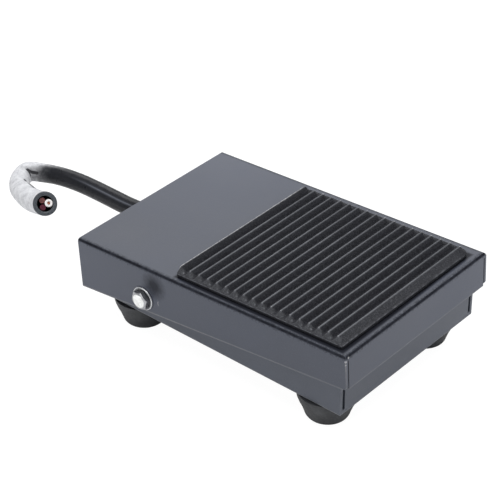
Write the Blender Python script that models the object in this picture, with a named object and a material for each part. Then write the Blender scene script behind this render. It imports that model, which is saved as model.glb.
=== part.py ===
"""Folded-steel momentary foot switch: a pedal cover that rocks on one cross bolt over a tray on
four rubber feet, with a ribbed tread pad, a return spring, a lever snap switch and a short
three-core cable. Metres, +Z up, floor at z = 0, cable to +Y (rear), tread pad to -Y (front),
bolt along X, left at -X. Shapes are drawn in millimetres, with heights (H, z) above the tray's
underside unless noted. A name ending in _X is half a width where the part is symmetrical."""

import math

import bmesh
import bpy
import numpy as np
from mathutils import Vector

MM = 0.001

# ---- driving dimensions, millimetres ------------------------------------------------------

SHEET = 1.0  # thickness of the folded sheet
HOLE_R = 1.7
BOLT_R = 1.5  # pivot bolt, foot screws and the spring post's neck
NUT_FLATS = 5.5  # width over the flats of the hexagons on the bolt and the foot screws

FOOT_H = 9.5  # tray underside above the floor
FOOT_X = 23.3
FOOT_FRONT_Y = -37.6
FOOT_REAR_Y = 33.8
FOOT_PLACES = {
    "front_left": (-FOOT_X, FOOT_FRONT_Y),
    "rear_left": (-FOOT_X, FOOT_REAR_Y),
    "front_right": (FOOT_X, FOOT_FRONT_Y),
    "rear_right": (FOOT_X, FOOT_REAR_Y),
}

TRAY_X = 31.5
TRAY_FRONT_Y = -48.5
TRAY_REAR_Y = 48.0

COVER_X = 33.15
COVER_Y = 51.15  # half the length
COVER_TOP_H = 20.0  # cover top at mid length
TILT_DEG = 3.0  # front edge up
TILT_COS = math.cos(math.radians(TILT_DEG))
TILT_SIN = math.sin(math.radians(TILT_DEG))

PIVOT_Y = 24.35
PIVOT_H = 7.7
SPRING_Y = -34.0
CABLE_H = 9.3  # cable axis where it leaves the tray

BRACKET_SCREWS = {"front": (-8.6, -17.5), "rear": (-8.6, -6.5)}  # x, y

for old in list(bpy.data.objects):
    bpy.data.objects.remove(old, do_unlink=True)
for old in list(bpy.data.meshes):
    bpy.data.meshes.remove(old)

# ---- materials ----------------------------------------------------------------------------


def material(name, colour, roughness, metallic=0.0):
    mat = bpy.data.materials.new(name)
    mat.use_nodes = True
    bsdf = mat.node_tree.nodes["Principled BSDF"]
    bsdf.inputs["Base Color"].default_value = (*colour, 1.0)
    bsdf.inputs["Roughness"].default_value = roughness
    bsdf.inputs["Metallic"].default_value = metallic
    mat.diffuse_color = (*colour, 1.0)
    return mat


def metal(name, colour, roughness):
    return material(name, colour, roughness, metallic=1.0)


POWDER = material("powder_coat", colour=(0.15, 0.16, 0.185), roughness=0.42)
TRAY_COAT = material("tray_coat", colour=(0.12, 0.125, 0.145), roughness=0.48)
RUBBER = material("black_rubber", colour=(0.028, 0.029, 0.034), roughness=0.75)
FOOT_RUBBER = material("foot_rubber", colour=(0.035, 0.037, 0.042), roughness=0.7)
ZINC = metal("zinc_plate", colour=(0.72, 0.73, 0.75), roughness=0.25)
SPRING_STEEL = metal("spring_steel", colour=(0.55, 0.56, 0.58), roughness=0.3)
BRACKET_STEEL = metal("bracket_steel", colour=(0.62, 0.63, 0.64), roughness=0.4)
NYLON = material("nylon", colour=(0.78, 0.76, 0.7), roughness=0.5)
BLACK_PLASTIC = material("switch_plastic", colour=(0.03, 0.03, 0.035), roughness=0.4)
LID_PLASTIC = material("switch_lid_plastic", colour=(0.06, 0.02, 0.015), roughness=0.4)
PLUNGER_RED = material("plunger_plastic", colour=(0.55, 0.05, 0.04), roughness=0.4)
SILVERED = metal("silvered_brass", colour=(0.75, 0.72, 0.65), roughness=0.3)
CARD = material("insulating_card", colour=(0.35, 0.28, 0.18), roughness=0.8)
TAPE = material("adhesive", colour=(0.08, 0.08, 0.08), roughness=0.8)
JACKET = material("cable_jacket", colour=(0.022, 0.022, 0.026), roughness=0.3)
CORE_RED = material("core_red", colour=(0.38, 0.02, 0.03), roughness=0.4)
CORE_WHITE = material("core_white", colour=(0.8, 0.78, 0.76), roughness=0.4)
CORE_BROWN = material("core_brown", colour=(0.30, 0.12, 0.09), roughness=0.4)
COPPER = metal("copper", colour=(0.72, 0.35, 0.2), roughness=0.3)

# ---- shapes: (points, faces) pairs in millimetres -------------------------------------------


def merge(shapes):
    verts, faces = [], []
    for shape_verts, shape_faces in shapes:
        start = len(verts)
        verts += list(shape_verts)
        faces += [tuple(i + start for i in face) for face in shape_faces]
    return verts, faces


def moved(shape, fn):
    return [fn(p) for p in shape[0]], shape[1]


def placed(shape, at, axis="z"):
    """A shape drawn about +Z, laid along an axis with its origin at a point."""
    i, j, k = {"x": (2, 0, 1), "y": (1, 2, 0), "z": (0, 1, 2)}[axis]
    return moved(shape, lambda p: (p[i] + at[0], p[j] + at[1], p[k] + at[2]))


def box(x0, x1, y0, y1, z0, z1):
    verts = [(x, y, z) for x in (x0, x1) for y in (y0, y1) for z in (z0, z1)]
    faces = [(0, 1, 3, 2), (4, 6, 7, 5), (0, 4, 5, 1), (2, 3, 7, 6), (0, 2, 6, 4), (1, 5, 7, 3)]
    return verts, faces


def prism(outline, lo, hi, axis="x"):
    """A closed outline swept straight along an axis. The outline's two numbers fill the others."""
    count = len(outline)
    place = {
        "x": lambda a, b, t: (t, a, b),
        "y": lambda a, b, t: (a, t, b),
        "z": lambda a, b, t: (a, b, t),
    }[axis]
    verts = [place(a, b, end) for end in (lo, hi) for a, b in outline]
    faces = [tuple(range(count)), tuple(range(2 * count - 1, count - 1, -1))]
    for i in range(count):
        j = (i + 1) % count
        faces.append((i, j, count + j, count + i))
    return verts, faces


def ring(radius, height, sides, flats=None):
    """Points round +Z; flats is a hexagon's width over its flats, clipped to the radius."""
    out = []
    for i in range(sides):
        angle = 2 * math.pi * i / sides
        reach = radius
        if flats:
            from_flat = (angle + math.pi / 6) % (math.pi / 3) - math.pi / 6
            reach = min(flats / 2 / math.cos(from_flat), radius)
        out.append((reach * math.cos(angle), reach * math.sin(angle), height))
    return out


def loft(rings, cyclic=False):
    """Rings with equal counts joined in order: solid with capped ends, or closed on itself."""
    count = len(rings[0])
    verts = [p for one in rings for p in one]
    faces = []
    for k in range(len(rings) if cyclic else len(rings) - 1):
        a, b = k * count, ((k + 1) % len(rings)) * count
        for i in range(count):
            j = (i + 1) % count
            faces.append((a + i, a + j, b + j, b + i))
    if not cyclic:
        faces.append(tuple(range(count - 1, -1, -1)))
        faces.append(tuple(range((len(rings) - 1) * count, len(rings) * count)))
    return verts, faces


def turned(profile, sides, cyclic=False, flats=None):
    """A turned piece about +Z from (radius, height[, True for a hexagonal step]) rows."""
    rings = [ring(row[0], row[1], sides, flats if len(row) > 2 else None) for row in profile]
    return loft(rings, cyclic)


def rod(radius, lo, hi, sides, at=(0, 0, 0), axis="z"):
    return placed(turned([(radius, lo), (radius, hi)], sides), at, axis)


def sleeve(bore, radius, lo, hi, sides):
    return turned([(bore, lo), (radius, lo), (radius, hi), (bore, hi)], sides, cyclic=True)


def arc(centre, radius, degrees):
    out = []
    for degree in degrees:
        a = math.radians(degree)
        out.append((centre[0] + radius * math.cos(a), centre[1] + radius * math.sin(a)))
    return out


def span(side, a, b):
    """The x range from a to b on the left (side -1) or the right (side 1)."""
    return sorted((side * a, side * b))


def bevelled(shape, pick, width, segments=3):
    """A shape with the picked edges rounded. pick(a, b) takes the edge's two end points."""
    mesh = bpy.data.meshes.new("work")
    mesh.from_pydata(shape[0], [], shape[1])
    bm = bmesh.new()
    bm.from_mesh(mesh)
    bmesh.ops.recalc_face_normals(bm, faces=bm.faces)
    chosen = [e for e in bm.edges if pick(e.verts[0].co, e.verts[1].co)]
    bmesh.ops.bevel(bm, geom=chosen, offset=width, offset_type="OFFSET", segments=segments,
                    profile=0.5, affect="EDGES", clamp_overlap=True)
    bm.verts.index_update()
    verts = [tuple(vert.co) for vert in bm.verts]
    faces = [tuple(vert.index for vert in face.verts) for face in bm.faces]
    bm.free()
    bpy.data.meshes.remove(mesh)
    return verts, faces


# ---- frames and objects ---------------------------------------------------------------------

root = bpy.data.objects.new("foot_switch", None)
bpy.context.scene.collection.objects.link(root)


def up(p):
    """From heights above the tray underside to heights above the floor."""
    return (p[0], p[1], p[2] + FOOT_H)


def tilted(p):
    """From the cover's own frame, origin at the middle of its top face, to the tray frame."""
    return (p[0], TILT_COS * p[1] + TILT_SIN * p[2],
            COVER_TOP_H - TILT_SIN * p[1] + TILT_COS * p[2])


def on_floor(shape):
    """For a shape whose heights are already above the floor."""
    return shape


def on_tray(shape):
    return moved(shape, up)


def on_pedal(shape):
    return moved(moved(shape, tilted), up)


def empty(name, at):
    obj = bpy.data.objects.new(name, None)
    bpy.context.scene.collection.objects.link(obj)
    obj.parent = root
    obj.location = [v * MM for v in up(at)]
    return obj


def add(name, shape, mat, frame=on_tray, parent=None, smooth=False):
    """A mesh object from a shape drawn in a frame; parent is an empty directly under root."""
    verts, faces = frame(shape)
    offset = Vector((0, 0, 0)) if parent is None else Vector(parent.location) / MM
    mesh = bpy.data.meshes.new(name)
    mesh.from_pydata([tuple((Vector(v) - offset) * MM) for v in verts], [], faces)
    bm = bmesh.new()
    bm.from_mesh(mesh)
    bmesh.ops.recalc_face_normals(bm, faces=bm.faces)
    if bm.calc_volume(signed=True) < 0:
        bmesh.ops.reverse_faces(bm, faces=bm.faces)
    for face in bm.faces:
        face.smooth = smooth
    if smooth:
        for edge in bm.edges:
            if len(edge.link_faces) == 2 and edge.calc_face_angle(0) > math.radians(35):
                edge.smooth = False
    bm.to_mesh(mesh)
    bm.free()
    obj = bpy.data.objects.new(name, mesh)
    bpy.context.scene.collection.objects.link(obj)
    obj.parent = root if parent is None else parent
    if mat is not None:
        mesh.materials.append(mat)
    return obj


def boolean(obj, label, operation, tool_name, shapes, frame=on_tray, parent=None):
    tool = add(tool_name, merge([frame(shape) for shape in shapes]), None, on_floor, parent)
    tool.hide_render = True
    tool.display_type = "WIRE"
    mod = obj.modifiers.new(label, "BOOLEAN")
    mod.operation = operation
    mod.solver = "EXACT"
    mod.object = tool


def cut(obj, tool_name, shapes, frame=on_tray, parent=None):
    boolean(obj, "cut", "DIFFERENCE", tool_name, shapes, frame, parent)


# ---- paths and tubes ------------------------------------------------------------------------


def curve_points(control, step):
    """A smooth centripetal curve through the control points, sampled about every step."""
    pts = [Vector(p) for p in control]
    pts = [pts[0] * 2 - pts[1]] + pts + [pts[-1] * 2 - pts[-2]]
    out = []
    for i in range(1, len(pts) - 2):
        p0, p1, p2, p3 = pts[i - 1 : i + 3]
        t0 = 0.0
        t1 = t0 + math.sqrt((p1 - p0).length)
        t2 = t1 + math.sqrt((p2 - p1).length)
        t3 = t2 + math.sqrt((p3 - p2).length)
        count = max(1, int(round((p2 - p1).length / step)))
        for k in range(count):
            t = t1 + (t2 - t1) * k / count
            a1 = p0 * ((t1 - t) / (t1 - t0)) + p1 * ((t - t0) / (t1 - t0))
            a2 = p1 * ((t2 - t) / (t2 - t1)) + p2 * ((t - t1) / (t2 - t1))
            a3 = p2 * ((t3 - t) / (t3 - t2)) + p3 * ((t - t2) / (t3 - t2))
            b1 = a1 * ((t2 - t) / (t2 - t0)) + a2 * ((t - t0) / (t2 - t0))
            b2 = a2 * ((t3 - t) / (t3 - t1)) + a3 * ((t - t1) / (t3 - t1))
            out.append(b1 * ((t2 - t) / (t2 - t1)) + b2 * ((t - t1) / (t2 - t1)))
    out.append(pts[-2].copy())
    return out


def spline_points(control, step):
    """A natural cubic spline through the control points, sampled evenly about every step."""
    pts = np.array(control, float)
    chords = np.linalg.norm(np.diff(pts, axis=0), axis=1)
    knots = np.concatenate([[0.0], np.cumsum(chords)])
    gaps, count = np.diff(knots), len(pts)
    matrix, rhs = np.eye(count), np.zeros((count, 3))
    for i in range(1, count - 1):
        before, after = gaps[i - 1], gaps[i]
        matrix[i, i - 1 : i + 2] = before, 2 * (before + after), after
        rhs[i] = 6 * ((pts[i + 1] - pts[i]) / after - (pts[i] - pts[i - 1]) / before)
    bend = np.linalg.solve(matrix, rhs)  # second derivatives at the knots
    out = []
    for t in np.linspace(0, knots[-1], int(knots[-1] / step) + 1):
        i = min(int(np.searchsorted(knots, t, "right")) - 1, count - 2)
        left, done, gap = knots[i + 1] - t, t - knots[i], gaps[i]
        out.append(Vector(
            bend[i] * left**3 / (6 * gap) + bend[i + 1] * done**3 / (6 * gap)
            + (pts[i] / gap - bend[i] * gap / 6) * left
            + (pts[i + 1] / gap - bend[i + 1] * gap / 6) * done))
    return out


def frames(points, side_at_end):
    """Tangents, and side vectors turned as little as possible from the one at the end."""
    last = len(points) - 1
    tangents = [(points[min(i + 1, last)] - points[max(i - 1, 0)]).normalized()
                for i in range(len(points))]
    sides = [None] * len(points)
    side = (side_at_end - tangents[-1] * side_at_end.dot(tangents[-1])).normalized()
    sides[-1] = side
    for i in range(last - 1, -1, -1):
        side = tangents[i + 1].rotation_difference(tangents[i]) @ side
        side = (side - tangents[i] * side.dot(tangents[i])).normalized()
        sides[i] = side
    return tangents, sides


def tube_rings(points, tangents, sides, radii, count):
    out = []
    for p, tangent, side, radius in zip(points, tangents, sides, radii):
        across = tangent.cross(side)
        one = []
        for i in range(count):
            a = 2 * math.pi * i / count
            one.append(tuple(p + side * (radius * math.cos(a)) + across * (radius * math.sin(a))))
        out.append(one)
    return out


def smoothstep(a, b, x):
    t = min(max((x - a) / (b - a), 0.0), 1.0)
    return t * t * (3 - 2 * t)


# ---- tray -----------------------------------------------------------------------------------

TRAY_WALL_H = 15.6
TRAY_SLOT = 1.0  # width of the corner slots in the end walls
TRAY_BEND_R = 0.5
INNER_BEND_R = 0.3  # tray and cover
BRACKET_TAP_R = 1.45
CABLE_HOLE_R = 4.15


def tray_holes():
    middle = SHEET / 2  # middle of a wall's thickness
    holes = [rod(HOLE_R, -2, 3, 16, (x, y, 0)) for x, y in FOOT_PLACES.values()]
    holes += [rod(BRACKET_TAP_R, -2, 3, 12, (x, y, 0)) for x, y in BRACKET_SCREWS.values()]
    holes.append(rod(HOLE_R, -2, 3, 16, (0, SPRING_Y, 0)))
    for x in (-TRAY_X + middle, TRAY_X - middle):
        holes.append(rod(HOLE_R, -2, 2, 16, (x, PIVOT_Y, PIVOT_H), "x"))
    holes.append(rod(CABLE_HOLE_R, -2, 2, 24, (0, TRAY_REAR_Y - middle, CABLE_H), "y"))
    return holes


def make_tray():
    outer = bevelled(
        box(-TRAY_X, TRAY_X, TRAY_FRONT_Y, TRAY_REAR_Y, 0, TRAY_WALL_H),
        lambda a, b: a.z < 0.01 and b.z < 0.01, TRAY_BEND_R)
    inner_x = TRAY_X - SHEET
    inner = bevelled(
        box(-inner_x, inner_x, TRAY_FRONT_Y + SHEET, TRAY_REAR_Y - SHEET, SHEET, TRAY_WALL_H + 5),
        lambda a, b: a.z < SHEET + 0.01 and b.z < SHEET + 0.01, INNER_BEND_R, 2)
    tray = add("base_tray", outer, TRAY_COAT)
    cut(tray, "tray_hollow_cut", [inner])
    slots = []
    for side in (-1, 1):
        x0, x1 = span(side, inner_x, inner_x - TRAY_SLOT)
        for y0, y1 in ((TRAY_FRONT_Y - 1, TRAY_FRONT_Y + SHEET + 0.02),
                       (TRAY_REAR_Y - SHEET - 0.02, TRAY_REAR_Y + 1)):
            slots.append(box(x0, x1, y0, y1, SHEET + 0.6, TRAY_WALL_H + 3))
    cut(tray, "tray_slot_cut", slots)
    cut(tray, "tray_hole_cut", tray_holes())


# ---- feet, their screws and nuts ------------------------------------------------------------

FOOT_TOP_R = 9.1
FOOT_LOW_R = 6.8
FOOT_EDGE_R = 2.4  # rounding of the bottom edge
FOOT_BORE_R = 1.75
FOOT_RECESS_R = 3.1
FOOT_RECESS_D = 4.6
FOOT_TOP = -0.1  # just clear of the tray
RECESS_TOP = -FOOT_H + FOOT_RECESS_D
HEAD_TOP = RECESS_TOP - 0.1

# (radius, height) rows
FOOT_PROFILE = [
    (FOOT_BORE_R, FOOT_TOP), (FOOT_BORE_R, RECESS_TOP),
    (FOOT_RECESS_R, RECESS_TOP), (FOOT_RECESS_R, -FOOT_H),
    *arc((FOOT_LOW_R - FOOT_EDGE_R, -FOOT_H + FOOT_EDGE_R), FOOT_EDGE_R, (-90, -60, -30, 0)),
    (FOOT_TOP_R, -1.0), (FOOT_TOP_R, FOOT_TOP),
]
FOOT_SCREW_PROFILE = [
    (1.7, HEAD_TOP - 1.9), (2.4, HEAD_TOP - 1.5), (2.7, HEAD_TOP - 0.8), (2.7, HEAD_TOP),
    (BOLT_R, HEAD_TOP), (BOLT_R, 4.2), (1.2, 4.6),
]
FOOT_NUT_PROFILE = [
    (1.6, 1.1), (2.9, 1.1, True), (3.2, 1.4, True), (3.2, 3.2, True), (2.9, 3.5, True), (1.6, 3.5),
]


def make_feet():
    foot = turned(FOOT_PROFILE, 24, cyclic=True)
    screw = turned(FOOT_SCREW_PROFILE, 12)
    nut = turned(FOOT_NUT_PROFILE, 12, cyclic=True, flats=NUT_FLATS)
    for tag, (x, y) in FOOT_PLACES.items():
        add(f"foot_{tag}", placed(foot, (x, y, 0)), FOOT_RUBBER, smooth=True)
        add(f"foot_screw_{tag}", placed(screw, (x, y, 0)), ZINC, smooth=True)
        add(f"foot_nut_{tag}", placed(nut, (x, y, 0)), ZINC)


# ---- pivot bolt, washers, shims, sleeve and nut ---------------------------------------------

PIVOT_BORE_R = 1.62  # washers, shims and nut
HEX_R = 3.2  # clips the corners of the hexagons

# (radius, x) rows; the head is at the left, the nut at the right
BOLT_PROFILE = [
    (2.3, -COVER_X - 2.3), (2.75, -COVER_X - 2.1, True), (HEX_R, -COVER_X - 1.8, True),
    (HEX_R, -COVER_X - 0.62, True), (BOLT_R, -COVER_X - 0.62),
    (BOLT_R, COVER_X + 2.9), (1.2, COVER_X + 3.3),
]
PIVOT_NUT_PROFILE = [
    (PIVOT_BORE_R, COVER_X + 0.63), (HEX_R, COVER_X + 0.63, True), (HEX_R, COVER_X + 2.2, True),
    (2.8, COVER_X + 2.6, True), (PIVOT_BORE_R, COVER_X + 2.6),
]


def at_pivot(shape):
    return placed(shape, (0, PIVOT_Y, PIVOT_H), "x")


def make_pivot():
    bolt = turned(BOLT_PROFILE, 24, flats=NUT_FLATS)
    add("pivot_bolt", at_pivot(bolt), ZINC, smooth=True)
    for tag, side in (("left", -1), ("right", 1)):
        near, far = COVER_X + 0.07, COVER_X + 0.57
        washer = turned([
            (PIVOT_BORE_R, side * near), (3.8, side * near), (3.8, side * (far - 0.15)),
            (3.65, side * far), (PIVOT_BORE_R, side * far)], 28, cyclic=True)
        add(f"pivot_washer_{tag}", at_pivot(washer), ZINC, smooth=True)
        shim = sleeve(PIVOT_BORE_R, 3.6, side * (TRAY_X + 0.1), side * (TRAY_X + 0.4), 16)
        add(f"pivot_shim_{tag}", at_pivot(shim), NYLON, smooth=True)
    nut = turned(PIVOT_NUT_PROFILE, 24, cyclic=True, flats=NUT_FLATS)
    add("pivot_nut", at_pivot(nut), ZINC)
    inside = TRAY_X - SHEET - 0.1
    spacer = sleeve(1.65, 2.5, -inside, inside, 16)
    add("pivot_sleeve", at_pivot(spacer), SPRING_STEEL, smooth=True)


# ---- pedal, in the cover's own frame: z = 0 at its top face -----------------------------------

COVER_REAR_DEPTH = 16.95
COVER_FRONT_DEPTH = 11.1
COVER_CORNER_R = 1.4  # lower front corners of the side walls
COVER_BEND_R = 1.0
COVER_SEAM = 0.25
UNDERSIDE = -SHEET - 0.06  # top of the parts fixed under the cover

PAD_X = 30.3
PAD_FRONT_Y = -48.6
PAD_REAR_Y = 13.0
PAD_CORNER_R = 2.2
PAD_SHARP_CORNER_R = 0.7  # the front left one
PAD_LIFT = 0.3
PAD_T = 2.5
PAD_BASE_T = 0.9
PAD_RIM = 2.8  # width of the sloped band at each end of the ribs
GROOVE_END = 0.8
RIB_COUNT = 18
RIB_PITCH = 3.39
RIB_FIRST_Y = 12.1
RIB_CREST = 0.4
GROOVE_FLOOR = 0.4
GROOVE_END_DROP = 0.25  # closed groove ends below the crests
TAPE_INSET = 1.2
TAPE_GAP = 0.06  # clear of the cover and of the pad

# (y, z) points
STRIKER_OUTLINE = [
    (-8.2, UNDERSIDE), (-1.2, UNDERSIDE), (-1.2, -SHEET - 0.75),
    (-1.6, -SHEET - 0.98), (-7.8, -SHEET - 0.98), (-8.2, -SHEET - 0.75),
]


def cover_side_cuts():
    """The seams at the front corners and the two pivot holes."""
    shapes = []
    for side in (-1, 1):
        x0, x1 = span(side, COVER_X - SHEET, COVER_X - SHEET - COVER_SEAM)
        shapes.append(
            box(x0, x1, -COVER_Y - 1, -COVER_Y + SHEET + 0.02, -25, -COVER_BEND_R - 0.2))
    # the pivot turned back into the cover's frame
    drop = PIVOT_H - COVER_TOP_H
    hole_y = TILT_COS * PIVOT_Y - TILT_SIN * drop
    hole_z = TILT_SIN * PIVOT_Y + TILT_COS * drop
    for x in (-COVER_X + SHEET / 2, COVER_X - SHEET / 2):
        shapes.append(rod(HOLE_R, -2, 2, 20, (x, hole_y, hole_z), "x"))
    return shapes


def make_cover(in_pedal):
    """A folded lid, open underneath and at the rear, deeper at the rear than at the front."""
    def bent(a, b):
        at_rear = a.y > COVER_Y - 0.01 and b.y > COVER_Y - 0.01
        return a.z > -0.01 and b.z > -0.01 and not at_rear

    outer = bevelled(box(-COVER_X, COVER_X, -COVER_Y, COVER_Y, -22, 0), bent, COVER_BEND_R)
    inner_x = COVER_X - SHEET
    inner = bevelled(
        box(-inner_x, inner_x, -COVER_Y + SHEET, COVER_Y + 8, -30, -SHEET),
        lambda a, b: a.z > -SHEET - 0.01 and b.z > -SHEET - 0.01, INNER_BEND_R, 2)
    cover = add("pedal_cover", outer, POWDER, **in_pedal)
    cut(cover, "cover_hollow_cut", [inner], **in_pedal)

    slope = (COVER_REAR_DEPTH - COVER_FRONT_DEPTH) / (2 * COVER_Y)
    lower = [
        (-COVER_Y - 6, -30.0), (-COVER_Y - 6, -COVER_FRONT_DEPTH), (-COVER_Y, -COVER_FRONT_DEPTH),
        (COVER_Y + 6, -COVER_REAR_DEPTH - 6 * slope), (COVER_Y + 6, -30.0)]
    cut(cover, "cover_lower_cut", [prism(lower, -40, 40)], **in_pedal)

    r = COVER_CORNER_R
    nose = [
        (-COVER_Y - 1, -COVER_FRONT_DEPTH - 1), (-COVER_Y - 1, -COVER_FRONT_DEPTH + r),
        *arc((-COVER_Y + r, -COVER_FRONT_DEPTH + r), r, [180 + 22.5 * k for k in range(5)]),
        (-COVER_Y + r, -COVER_FRONT_DEPTH - 1)]
    spans = [span(side, inner_x - COVER_SEAM / 2, COVER_X + 3) for side in (-1, 1)]
    cut(cover, "cover_nose_cut", [prism(nose, *ends) for ends in spans], **in_pedal)
    cut(cover, "cover_seam_cut", cover_side_cuts(), **in_pedal)


def rounded_rect(x, y0, y1, r, steps=5):
    out = []
    for cx, cy, start in ((x - r, y1 - r, 0), (-x + r, y1 - r, 90),
                          (-x + r, y0 + r, 180), (x - r, y0 + r, 270)):
        out += arc((cx, cy), r, [start + 90 * k / steps for k in range(steps + 1)])
    return out


def make_adhesive(in_pedal):
    outline = rounded_rect(
        PAD_X - TAPE_INSET, PAD_FRONT_Y + TAPE_INSET, PAD_REAR_Y - TAPE_INSET, PAD_CORNER_R - 1)
    add("adhesive_sheet", prism(outline, TAPE_GAP, PAD_LIFT - TAPE_GAP, "z"), TAPE, **in_pedal)


def pad_shape():
    """V grooves across the width of a thin sheet, closed at both ends by a sloped rim."""
    low, top = PAD_BASE_T, PAD_T
    shut_top = top - GROOVE_END_DROP
    rows = [(PAD_REAR_Y, low, low)]  # (y, height in the grooves, height at their closed ends)
    for k in range(RIB_COUNT):
        y = RIB_FIRST_Y - k * RIB_PITCH
        rows.append((y + RIB_CREST / 2, top, top))
        rows.append((y - RIB_CREST / 2, top, top))
        if k < RIB_COUNT - 1:
            rows.append((y - RIB_PITCH / 2 + GROOVE_FLOOR / 2, low, shut_top))
            rows.append((y - RIB_PITCH / 2 - GROOVE_FLOOR / 2, low, shut_top))
    rows.append((PAD_FRONT_Y, low, low))
    end_x = PAD_X - PAD_RIM
    groove_x = end_x - GROOVE_END
    stations = [(-PAD_X, "rim"), (-end_x, "end"), (-groove_x, "groove"),
                (groove_x, "groove"), (end_x, "end"), (PAD_X, "rim")]
    rings = []
    for x, kind in stations:
        section = []
        for y, deep, shut in rows:
            height = {"rim": low, "end": shut, "groove": deep}[kind]
            section.append((x, y, PAD_LIFT + height))
        section += [(x, y, PAD_LIFT) for y in (PAD_FRONT_Y, PAD_REAR_Y)]
        rings.append(section)
    return loft(rings)


def make_tread_pad(in_pedal):
    pad = add("tread_pad", pad_shape(), RUBBER, **in_pedal)
    corners = []
    for sx in (-1, 1):
        for y, sy in ((PAD_FRONT_Y, -1), (PAD_REAR_Y, 1)):
            r = PAD_SHARP_CORNER_R if (sx, sy) == (-1, -1) else PAD_CORNER_R
            cx, cy = sx * (PAD_X - r), y - sy * r
            corner = [(r + 1, -0.01), (r + 1, r + 1), (-0.01, r + 1)]
            corner += arc((0, 0), r, [90 - 18 * k for k in range(6)])
            corners.append(prism([(cx + sx * u, cy + sy * v) for u, v in corner], -0.5, 4, "z"))
    cut(pad, "pad_corner_cut", corners, **in_pedal)


def make_pedal():
    hinge = empty("pedal_hinge", (0, PIVOT_Y, PIVOT_H))
    in_pedal = {"frame": on_pedal, "parent": hinge}
    make_cover(in_pedal)
    make_adhesive(in_pedal)
    make_tread_pad(in_pedal)
    add("striker_pad", prism(STRIKER_OUTLINE, -3.6, 2.8), NYLON, **in_pedal)
    # over the spring where the cover's underside crosses the spring's axis
    locator_y = (SPRING_Y + TILT_SIN * SHEET) / TILT_COS
    locator = turned([(2.3, UNDERSIDE), (2.3, -SHEET - 1.8), (1.9, -SHEET - 2.3)], 16)
    add("spring_locator", placed(locator, (0, locator_y, 0)), ZINC, smooth=True, **in_pedal)


# ---- return spring and its post ---------------------------------------------------------------

SPRING_R = 3.4
SPRING_WIRE_R = 0.4
SPRING_TURNS = 7.0
SPRING_STEPS = 12  # per turn
SPRING_TOP_H = 20.42
END_PITCH = 2 * SPRING_WIRE_R + 0.05  # rise of the closed first and last turns

# (radius, height) rows
POST_PROFILE = [
    (2.2, -1.3), (3.0, -0.9), (3.0, -0.1), (BOLT_R, -0.1),
    (BOLT_R, 1.1), (2.4, 1.1), (2.4, 4.6), (1.9, 5.1),
]


def spring_height(turn):
    low, high = SHEET + 0.1 + SPRING_WIRE_R, SPRING_TOP_H - SPRING_WIRE_R
    if turn < 1:
        return low + END_PITCH * turn
    if turn > SPRING_TURNS - 1:
        return high - END_PITCH * (SPRING_TURNS - turn)
    return low + END_PITCH + (high - low - 2 * END_PITCH) * (turn - 1) / (SPRING_TURNS - 2)


def make_spring():
    post = placed(turned(POST_PROFILE, 16), (0, SPRING_Y, 0))
    add("spring_post", post, ZINC, smooth=True)
    steps = int(SPRING_TURNS * SPRING_STEPS)
    pts = []
    for i in range(steps + 1):
        turn = i / steps * SPRING_TURNS
        a = 2 * math.pi * turn
        x, y = SPRING_R * math.cos(a), SPRING_Y + SPRING_R * math.sin(a)
        pts.append(Vector(up((x, y, spring_height(turn)))))
    tangents, sides = frames(pts, Vector((0, 0, 1)))
    coil = loft(tube_rings(pts, tangents, sides, [SPRING_WIRE_R] * len(pts), 6))
    add("return_spring", coil, SPRING_STEEL, on_floor, smooth=True)


# ---- snap switch ------------------------------------------------------------------------------

SWITCH_FRONT_Y, SWITCH_REAR_Y = -21.9, -2.1
SWITCH_LOW_H, SWITCH_TOP_H = 4.6, 14.8
SWITCH_LEFT_X, SWITCH_RIGHT_X = -3.2, 2.4
SWITCH_LID_X = 3.2
SWITCH_HOLE_H = 7.5
SWITCH_HOLE_R = 1.1
SWITCH_HOLES_Y = {"front": -16.75, "rear": -7.25}
EAR_GAP = (-2.0, 1.2)  # x range between the two lever ears
PIN_HOLE_R = 0.42

MID_X = -0.4  # middle of the terminals, blade and plunger
TERMINAL_X = (MID_X - 0.25, MID_X + 0.25)
TERMINAL_SLOT_X = (MID_X - 0.4, MID_X + 0.4)
TERMINAL_SLOTS_Y = ((-5.3, -3.0), (-13.2, -10.8), (-20.7, -18.3))
MOVING_X = (-1.4, 0.6)  # x range of the blade and plunger

LEVER_Y, LEVER_H = -20.8, 15.3
LEVER_REST_DEG = 7.7
LEVER_COS = math.cos(math.radians(LEVER_REST_DEG))
LEVER_SIN = math.sin(math.radians(LEVER_REST_DEG))
LEVER_X = (-1.8, 1.0)
PLUNGER_Y = -13.5
BLADE_Y, BLADE_H = -4.0, 11.5
BLADE_ROOT = (-4.4, 11.6)  # ends of the blade's sloping top, y and z
BLADE_TIP = (-17.9, 12.1)

# outlines below are (y, z) points
EAR_OUTLINE = [
    (-21.9, 14.0), (-19.7, 14.0), (-19.7, 15.6), (-20.1, 16.1), (-21.5, 16.1), (-21.9, 15.6),
]
TERMINAL_OUTLINES = {
    "common": [(-5.1, 1.7), (-3.3, 1.7), (-3.3, 11.1), (-5.1, 11.1)],
    "open": [
        (-13.0, 1.7), (-11.0, 1.7), (-11.0, 10.3), (-18.2, 10.3), (-18.2, 9.8), (-13.0, 9.8),
    ],
    "closed": [
        (-20.5, 1.7), (-18.5, 1.7), (-18.5, 9.6), (-19.9, 10.6),
        (-19.9, 12.7), (-16.8, 12.7), (-16.8, 13.3), (-20.5, 13.3),
    ],
}
BLADE_OUTLINE = [
    (-3.4, 11.25), (-3.4, 11.6), BLADE_ROOT, BLADE_TIP, (-17.9, 11.8), (-4.4, 11.25),
]
# in the lever's own frame: origin at its pin, y along the lever
LEVER_OUTLINE = [
    (0.2, 0.66), (-0.45, 0.72), *arc((0, 0), 0.7, range(150, 391, 30)),
    (1.0, 0.36), (15.6, 0.36), (16.0, 0.5), (15.6, 0.66),
]
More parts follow.
